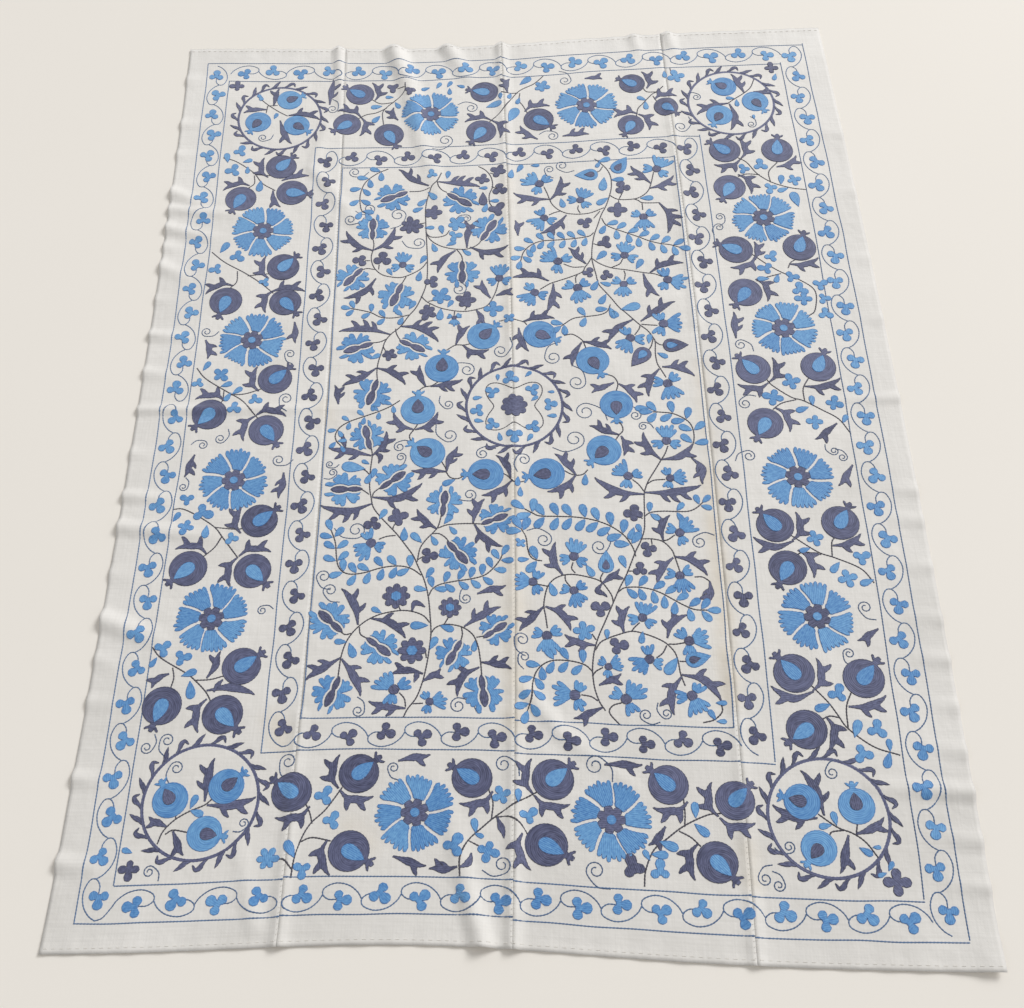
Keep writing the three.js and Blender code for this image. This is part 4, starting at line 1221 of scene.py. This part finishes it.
# Sprays: number of leaf pairs, length of a leaf, u and v of each point along the stem
SPRAYS = [
    (5, 26, [(-278, 685), (-305, 670), (-330, 645), (-341, 615), (-343, 585), (-338, 555), (-328, 546)]),
    (4, 22, [(-222, 248), (-240, 243), (-262, 240), (-285, 243), (-305, 255), (-330, 263), (-352, 268)]),
    (6, 18, [(-235, 20), (-255, 5), (-280, -8), (-310, -20), (-340, -32), (-360, -47), (-368, -65),
             (-365, -80), (-355, -92)]),
    (9, 26, [(-178, -395), (-195, -382), (-215, -375), (-240, -375), (-265, -380), (-290, -388),
             (-315, -391), (-332, -386), (-343, -372), (-348, -350), (-352, -320), (-362, -292)]),
    (7, 24, [(-162, -440), (-155, -425), (-140, -415), (-110, -408), (-80, -403), (-55, -395),
             (-38, -380), (-25, -362), (-20, -350)]),
    (8, 24, [(197, 467), (185, 457), (150, 452), (110, 450), (80, 449), (60, 442), (45, 430), (35, 415),
             (29, 392)]),
    (7, 26, [(218, 508), (225, 490), (240, 478), (260, 468), (280, 458), (300, 448), (320, 437),
             (345, 428), (365, 424), (385, 416)]),
    (3, 26, [(222, 262), (215, 245), (200, 236), (170, 232), (150, 230), (135, 225), (112, 207)]),
    (5, 28, [(365, -108), (372, -90), (374, -70), (370, -50), (358, -35), (335, -22), (310, -18),
             (294, -17)]),
    (9, 30, [(240, -350), (235, -330), (220, -305), (195, -285), (165, -272), (130, -265), (90, -263),
             (55, -262), (40, -255), (25, -246)]),
    (3, 22, [(262, -262), (275, -253), (300, -250), (330, -251), (350, -250), (365, -243), (378, -231)]),
    (2, 30, [(58, -362), (45, -360), (35, -352), (30, -335), (27, -310), (18, -292)]),
    (7, 26, [(203, -427), (215, -418), (240, -416), (265, -420), (285, -428), (305, -440), (325, -452),
             (345, -461), (368, -462)]),
    (7, 26, [(148, -590), (135, -578), (110, -571), (80, -570), (60, -577), (45, -593), (38, -615),
             (36, -645), (28, -672)]),
]
SPRAY_SPAN, SPRAY_OPEN, SPRAY_SWING, SPRAY_CLEAR = (0.1, 0.93), 58, 9, 3
SPRAY_LEAF, SPRAY_TAPER = 0.52, 0.8
# Blue sprigs: u, v, heading, size, number of lobes
BLUE_SPRIGS = [
    (-172, 662, 100, 30, 3), (-120, 473, 10, 34, 3), (-116, 510, 50, 46, 5), (-152, 298, 60, 46, 5),
    (-35, 260, 45, 44, 4), (0, 230, 90, 28, 4), (25, 848, 65, 50, 1), (-20, 886, 20, 40, 1),
    (661, 545, 100, 44, 1),
    (135, -510, 100, 42, 5), (17, -324, 90, 22, 4), (-643, 742, 70, 36, 3), (-673, 722, 100, 30, 1),
    (-655, 682, 190, 40, 3), (-620, 683, 270, 22, 1), (-622, 712, 20, 24, 1), (-586, 632, 265, 34, 1),
    (-655, 445, 60, 34, 1), (-623, 420, 320, 40, 3), (-668, 382, 190, 34, 3), (-553, 345, -60, 26, 3),
    (-662, 115, 60, 26, 1), (-628, 92, 0, 40, 4), (-675, 72, 200, 26, 3), (-613, 66, 20, 26, 1),
    (-588, 50, 40, 26, 1), (-548, 28, -20, 30, 3), (-590, 5, -30, 34, 3), (-607, 35, 240, 24, 1),
    (-665, -215, 150, 30, 3), (-630, -245, -20, 44, 3), (-682, -255, 60, 24, 1), (-660, -278, 300, 38, 4),
    (-617, -290, 270, 30, 1), (-563, -305, -10, 30, 3), (-670, -540, 45, 36, 3), (-630, -560, 10, 36, 3),
    (-684, -568, 240, 22, 1), (-612, -592, 20, 30, 1), (-605, -625, 280, 36, 1), (557, 640, 120, 30, 3),
    (595, 650, 90, 36, 3), (637, 605, 80, 28, 1), (665, 603, 60, 34, 4), (610, 582, 250, 34, 3),
    (637, 575, 200, 26, 1), (585, 382, 60, 34, 3), (570, 350, 170, 34, 3), (560, 322, 180, 26, 1),
    (590, 322, 250, 24, 1), (622, 325, 0, 34, 3), (635, 290, 90, 40, 3), (640, 265, 220, 38, 4),
    (680, 302, 30, 34, 3), (683, 265, 0, 30, 3), (680, 225, -30, 36, 3), (585, 52, 60, 38, 4),
    (545, 15, 210, 44, 4), (600, -15, 200, 28, 1), (622, 5, 90, 24, 1), (665, -3, 30, 36, 4),
    (622, -45, 220, 36, 4), (682, -40, 60, 22, 1), (587, -310, 60, 36, 4), (565, -335, 200, 22, 1),
    (618, -372, 230, 28, 1), (670, -352, 30, 36, 3), (638, -395, 240, 38, 4), (673, -403, 200, 28, 1),
    (590, -625, 70, 38, 3), (560, -650, 200, 30, 1), (615, -690, 70, 34, 1), (650, -691, 80, 38, 3),
    (620, -735, 230, 38, 3), (668, -719, 90, 22, 1), (662, -746, 250, 30, 1), (-278, 925, 180, 20, 1),
    (-258, 897, -60, 24, 1), (-310, 892, 190, 28, 1), (-310, 850, 230, 28, 1), (-188, 952, 200, 22, 1),
    (-155, 962, 60, 22, 1), (-128, 965, 60, 22, 1), (-100, 956, -20, 20, 1), (-128, 940, 270, 22, 1),
    (60, 962, 40, 36, 1), (100, 940, 60, 40, 5), (20, 912, 250, 20, 1), (40, 895, 250, 22, 1),
    (-3, 912, 90, 20, 1), (403, 955, 270, 22, 1), (430, 945, 60, 44, 4), (340, 878, 150, 24, 1),
    (348, 855, 270, 26, 1), (-335, -835, 60, 38, 3), (-318, -880, 60, 36, 3), (-425, -945, 90, 42, 6),
    (-386, -930, 120, 34, 1), (-362, -965, 270, 34, 3), (-18, -832, 70, 36, 4), (12, -832, 90, 24, 1),
    (30, -867, 45, 34, 3), (-64, -888, 100, 26, 1), (-56, -905, -20, 17, 1), (-100, -925, 60, 42, 3),
    (-40, -932, -60, 42, 4), (320, -842, 90, 28, 1), (329, -876, -40, 31, 1), (271, -905, -20, 34, 1),
    (233, -924, 120, 20, 1), (255, -922, 0, 29, 1), (255, -950, 90, 36, 3), (-677, -923, 160, 20, 1),
    (668, 932, 250, 22, 1), (625, -943, 200, 16, 1), (641, -929, 60, 18, 1), (-605, 925, 30, 24, 2),
    (-562, 860, 70, 20, 1), (552, 866, 170, 20, 1), (566, 850, 270, 22, 1), (600, 803, 90, 14, 1),
    (-570, -838, 70, 26, 1), (-562, -858, -20, 26, 1), (557, -850, 100, 24, 1), (540, -863, 190, 22, 1),
    (603, -905, -30, 24, 1), (622, -898, 0, 14, 1),
]
# Single blue leaves of the field: u, v, heading, length
BLUE_LEAVES = [
    (-172, 597, -50, 30), (-195, 578, 225, 28), (-205, 556, 205, 26), (-178, 500, 0, 22),
    (-150, 493, 100, 26), (-128, 450, 25, 24), (-93, 423, -40, 24), (-167, 440, -70, 26),
    (-192, 405, 60, 26), (-267, 370, 120, 22), (-200, 357, 260, 28), (-135, 662, 80, 24),
    (-52, 616, 0, 20), (-27, 575, 0, 22), (-48, 555, 250, 26), (-215, 275, 60, 26), (-292, 135, 30, 24),
    (-130, 277, 60, 22), (-152, 248, -95, 32), (-128, -183, 205, 28), (-325, -145, 170, 50),
    (-301, -133, 150, 18), (-283, -160, 75, 24), (-293, -172, 250, 26), (-260, -257, 60, 26),
    (-215, -303, 270, 30), (-190, -312, 135, 30), (-155, -318, -60, 24), (-128, -270, 55, 26),
    (-118, -295, -50, 22), (-162, -390, 60, 26), (-178, -425, 170, 26), (-262, -470, 150, 22),
    (-178, -503, 180, 34), (-150, -540, 65, 28), (-305, -553, -70, 32), (-327, -535, 175, 24),
    (-125, -508, -20, 28), (-72, -545, -95, 22), (35, 672, 60, 26), (15, 655, 260, 28), (72, 680, 0, 20),
    (228, 612, 260, 40), (262, 623, 0, 30), (235, 685, 20, 30), (220, 672, 240, 20), (130, 560, -80, 28),
    (223, 560, 215, 32), (325, 563, 0, 30), (210, 400, 45, 32), (293, 372, 60, 30), (225, 240, -70, 32),
    (265, 253, 15, 44), (207, 278, 240, 30), (192, 317, 240, 30), (215, 320, -20, 24),
    (325, 125, -30, 24), (300, 168, 80, 24), (148, -178, 265, 26), (12, -183, 265, 22),
    (17, -207, 270, 22), (273, -8, 180, 30), (235, -300, 250, 28), (250, -290, 110, 22),
    (150, -382, -60, 28), (77, -423, -70, 30), (215, -362, 110, 28), (178, -515, 90, 20),
    (243, -520, 260, 24), (295, -575, 235, 40), (380, -645, 0, 20), (362, -668, 120, 22),
    (378, -680, 0, 18), (22, -360, 190, 22),
]


def spray_leaf(work, place, clear, heading, length):
    """Adds a leaf of a spray, clear of a place on its stem."""
    u, v = round_place(*place, clear + length / 2, heading)
    leaf = teardrop(length, SPRAY_LEAF * length, SPRAY_TAPER)
    fill(work, placed(leaf, u, v, heading), heading)


stem_thread = thread_material("near_black_thread", "#454254", "#26242f")
branches, blue_leaves, blue_sprigs = new_work(), new_work(), new_work()
for points in BRANCHES + TWIGS:
    chain_line(branches, smooth_path(points), BRANCH_WIDTH)
for pairs, length, points in SPRAYS:
    stem = smooth_path(points)
    chain_line(branches, stem, BRANCH_WIDTH)
    left = left_of(stem)
    for share in np.linspace(*SPRAY_SPAN, pairs):
        at = round(share * (len(stem) - 1))
        heading = math.degrees(math.atan2(-left[at, 0], left[at, 1]))
        for side in (-1, 1):
            turn = heading + side * SPRAY_OPEN + hand.uniform(-SPRAY_SWING, SPRAY_SWING)
            spray_leaf(blue_leaves, stem[at], SPRAY_CLEAR, turn, length)
    spray_leaf(blue_leaves, stem[-1], 0, heading, length)
for u, v, heading, length in BLUE_LEAVES:
    sprig(blue_leaves, u, v, heading, length, 1)
for row in BLUE_SPRIGS:
    sprig(blue_sprigs, *row)
sew_piece("branches", branches, stem_thread)
sew_piece("blue_leaves", blue_leaves, blue_thread)
sew_piece("blue_sprigs", blue_sprigs, blue_thread)

# The tendrils
# Small spirals fill the bare places between the motifs. Each is one row of slate-blue chain stitch,
# worked from its tail inwards.
TENDRIL_TURNS, TENDRIL_WIDTH, TENDRIL_SCALE, TENDRIL_TONE = 1.4, 3.1, 1.2, -1.2
TENDRIL_PARTS, TENDRIL_CLOSE = 12, 0.72
# Tail of a tendril: share of its radius, angle before the start of the spiral
TENDRIL_TAIL = [(2.3, 92), (1.65, 58)]
# Tendrils: u, v, size
TENDRILS = [
    (-358, 675, 12), (-320, 560, 12), (-252, 540, 16), (-363, 525, 12), (-203, 455, 14), (-92, 525, 9),
    (-110, 318, 14), (-20, 145, 14), (-92, 97, 14), (-132, 8, 10), (-375, -137, 7), (-368, -157, 8),
    (-232, -97, 10), (-228, -122, 9), (-128, -70, 14), (-60, -115, 11), (-85, -213, 12),
    (-312, -292, 16), (-370, -395, 12), (-355, -425, 12), (-90, -445, 10), (-285, -675, 10),
    (-100, -665, 13), (105, 665, 10), (135, 675, 12), (92, 125, 15), (140, 60, 16), (25, -130, 12),
    (155, -15, 18), (130, -82, 18), (258, -25, 10), (272, -52, 8), (62, -315, 14), (170, -330, 14),
    (365, -318, 12), (18, -530, 12), (22, -565, 9), (243, -672, 10), (280, -668, 9), (-420, 885, 12),
    (-75, 880, 13), (-140, 775, 15), (158, 955, 13), (118, 772, 12), (425, 780, 14), (-405, -770, 13),
    (-213, -785, 9), (-15, -775, 13), (-15, -955, 13), (148, -770, 15), (145, -955, 14),
    (430, -955, 10), (452, -965, 9), (-590, 788, 10), (-672, 207, 10), (-480, 145, 10), (-480, 28, 12),
    (-648, -85, 9), (-612, -70, 10), (-677, -185, 8), (-483, -125, 11), (-485, -465, 8),
    (-672, -735, 10), (-635, -722, 11), (-610, -775, 11), (-475, -880, 8), (-632, -960, 9),
    (472, 875, 9), (485, 500, 9), (480, 470, 9), (592, 780, 9), (492, 148, 11), (485, 0, 11),
    (480, -125, 11), (650, -115, 8), (665, -130, 8), (662, -455, 11), (620, -547, 9), (562, -770, 10),
    (475, -900, 9),
]
tendrils = new_work()
for u, v, size in TENDRILS:
    radius = size * TENDRIL_SCALE
    start, way = hand.uniform(0, 360), hand.choice((-1, 1))
    curl = [round_place(u, v, radius * (1 - TENDRIL_CLOSE * k / TENDRIL_PARTS),
                        start + way * 360 * TENDRIL_TURNS * k / TENDRIL_PARTS)
            for k in range(TENDRIL_PARTS + 1)]
    tail = [round_place(u, v, reach * radius, start - way * turn) for reach, turn in TENDRIL_TAIL]
    chain_line(tendrils, smooth_path(tail + curl), TENDRIL_WIDTH, tone=TENDRIL_TONE)
sew_piece("tendrils", tendrils, slate_thread)

# The middle
# Inside the middle wreath a vine of near-black chain stitch bends in four times and out four times
# round an indigo flower. It carries blue leaves, filled with couched thread as the flower is.
MIDDLE_AT = (7, 2)
MIDDLE_VINE, MIDDLE_SWAY, MIDDLE_BENDS, MIDDLE_STEP = 60, 17, 4, 10
# Flower of the middle: size, lobes, half the angle of a lobe, core, heading
MIDDLE_FLOWER = (56, 8, 25, 0.55, 10)
# Three-lobed leaves of the middle: u, v, size
MIDDLE_TREFOILS = [(-38, 37, 31), (-68, -8, 31), (-38, -42, 31), (45, 42, 31), (80, 5, 31), (45, -48, 31),
                   (0, 70, 36), (7, -70, 36)]
# Single leaves of the middle: u, v, heading, length
MIDDLE_LEAVES = [(-27, 76, 90, 16), (38, 83, 45, 18), (-70, 24, 190, 20), (85, 36, 0, 14), (50, 20, 40, 18),
                 (85, -24, 0, 20), (-67, -34, 170, 20), (-24, -74, 280, 20), (38, -77, 60, 20)]
middle_vine, middle_blue, middle_flower = new_work(), new_work(), new_work()
bends = [round_place(*MIDDLE_AT,
                     MIDDLE_VINE - MIDDLE_SWAY * math.cos(math.radians(MIDDLE_BENDS * turn)), turn)
         for turn in range(0, 360, MIDDLE_STEP)]
chain_line(middle_vine, smooth_path(bends, closed=True), TENDRIL_WIDTH)
for u, v, size in MIDDLE_TREFOILS:
    heading = math.degrees(math.atan2(v - MIDDLE_AT[1], u - MIDDLE_AT[0]))
    leaf = lobed(size, TREFOIL, TREFOIL_LOBE, TREFOIL_CORE)
    fill(middle_blue, placed(leaf, u, v, heading), heading)
for u, v, heading, length in MIDDLE_LEAVES:
    sprig(middle_blue, u, v, heading, length, 1)
size, lobes, half, core, heading = MIDDLE_FLOWER
flower = lobed(size, round_lobes(lobes), half, core)
fill(middle_flower, placed(flower, *MIDDLE_AT, heading), heading)
sew_piece("middle_vine", middle_vine, stem_thread)
sew_piece("middle_leaves", middle_blue, blue_thread)
sew_piece("middle_flower", middle_flower, indigo_thread)

# The seams and hems
# The selvedges are whipped together and the hems are run along by hand, in off-white sewing thread.
# The stitches are short and stand a little proud of the cloth.
SEWING_WIDTH, SEWING_RISE = 1.0, 0.6
SEAM_PITCH, SEAM_REACH, SEAM_SLANT = 9, 2.6, 2
HEM_PITCH, HEM_IN, HEM_RUN, HEM_FIRST, HEM_LAST = 14, 9, 6, 6, 10
sewing_thread = thread_material("off_white_sewing_thread", "#f0ece4", "#d6d1c6")
seam_stitches, hem_stitches = new_work(), new_work()
for seam in SEAMS_AT:
    for v in np.arange(-HALF_LENGTH + HEM, HALF_LENGTH - HEM, SEAM_PITCH):
        path = np.linspace((seam - SEAM_REACH, v), (seam + SEAM_REACH, v + SEAM_SLANT), 3)
        chain_line(seam_stitches, path, SEWING_WIDTH, SEWING_RISE)
for v in (-HALF_LENGTH + HEM_IN, HALF_LENGTH - HEM_IN):
    for u in np.arange(-HALF_WIDTH + HEM_FIRST, HALF_WIDTH - HEM_LAST, HEM_PITCH):
        chain_line(hem_stitches, np.linspace((u, v), (u + HEM_RUN, v), 3), SEWING_WIDTH, SEWING_RISE)
sew_piece("seam_stitches", seam_stitches, sewing_thread)
sew_piece("hem_stitches", hem_stitches, sewing_thread)
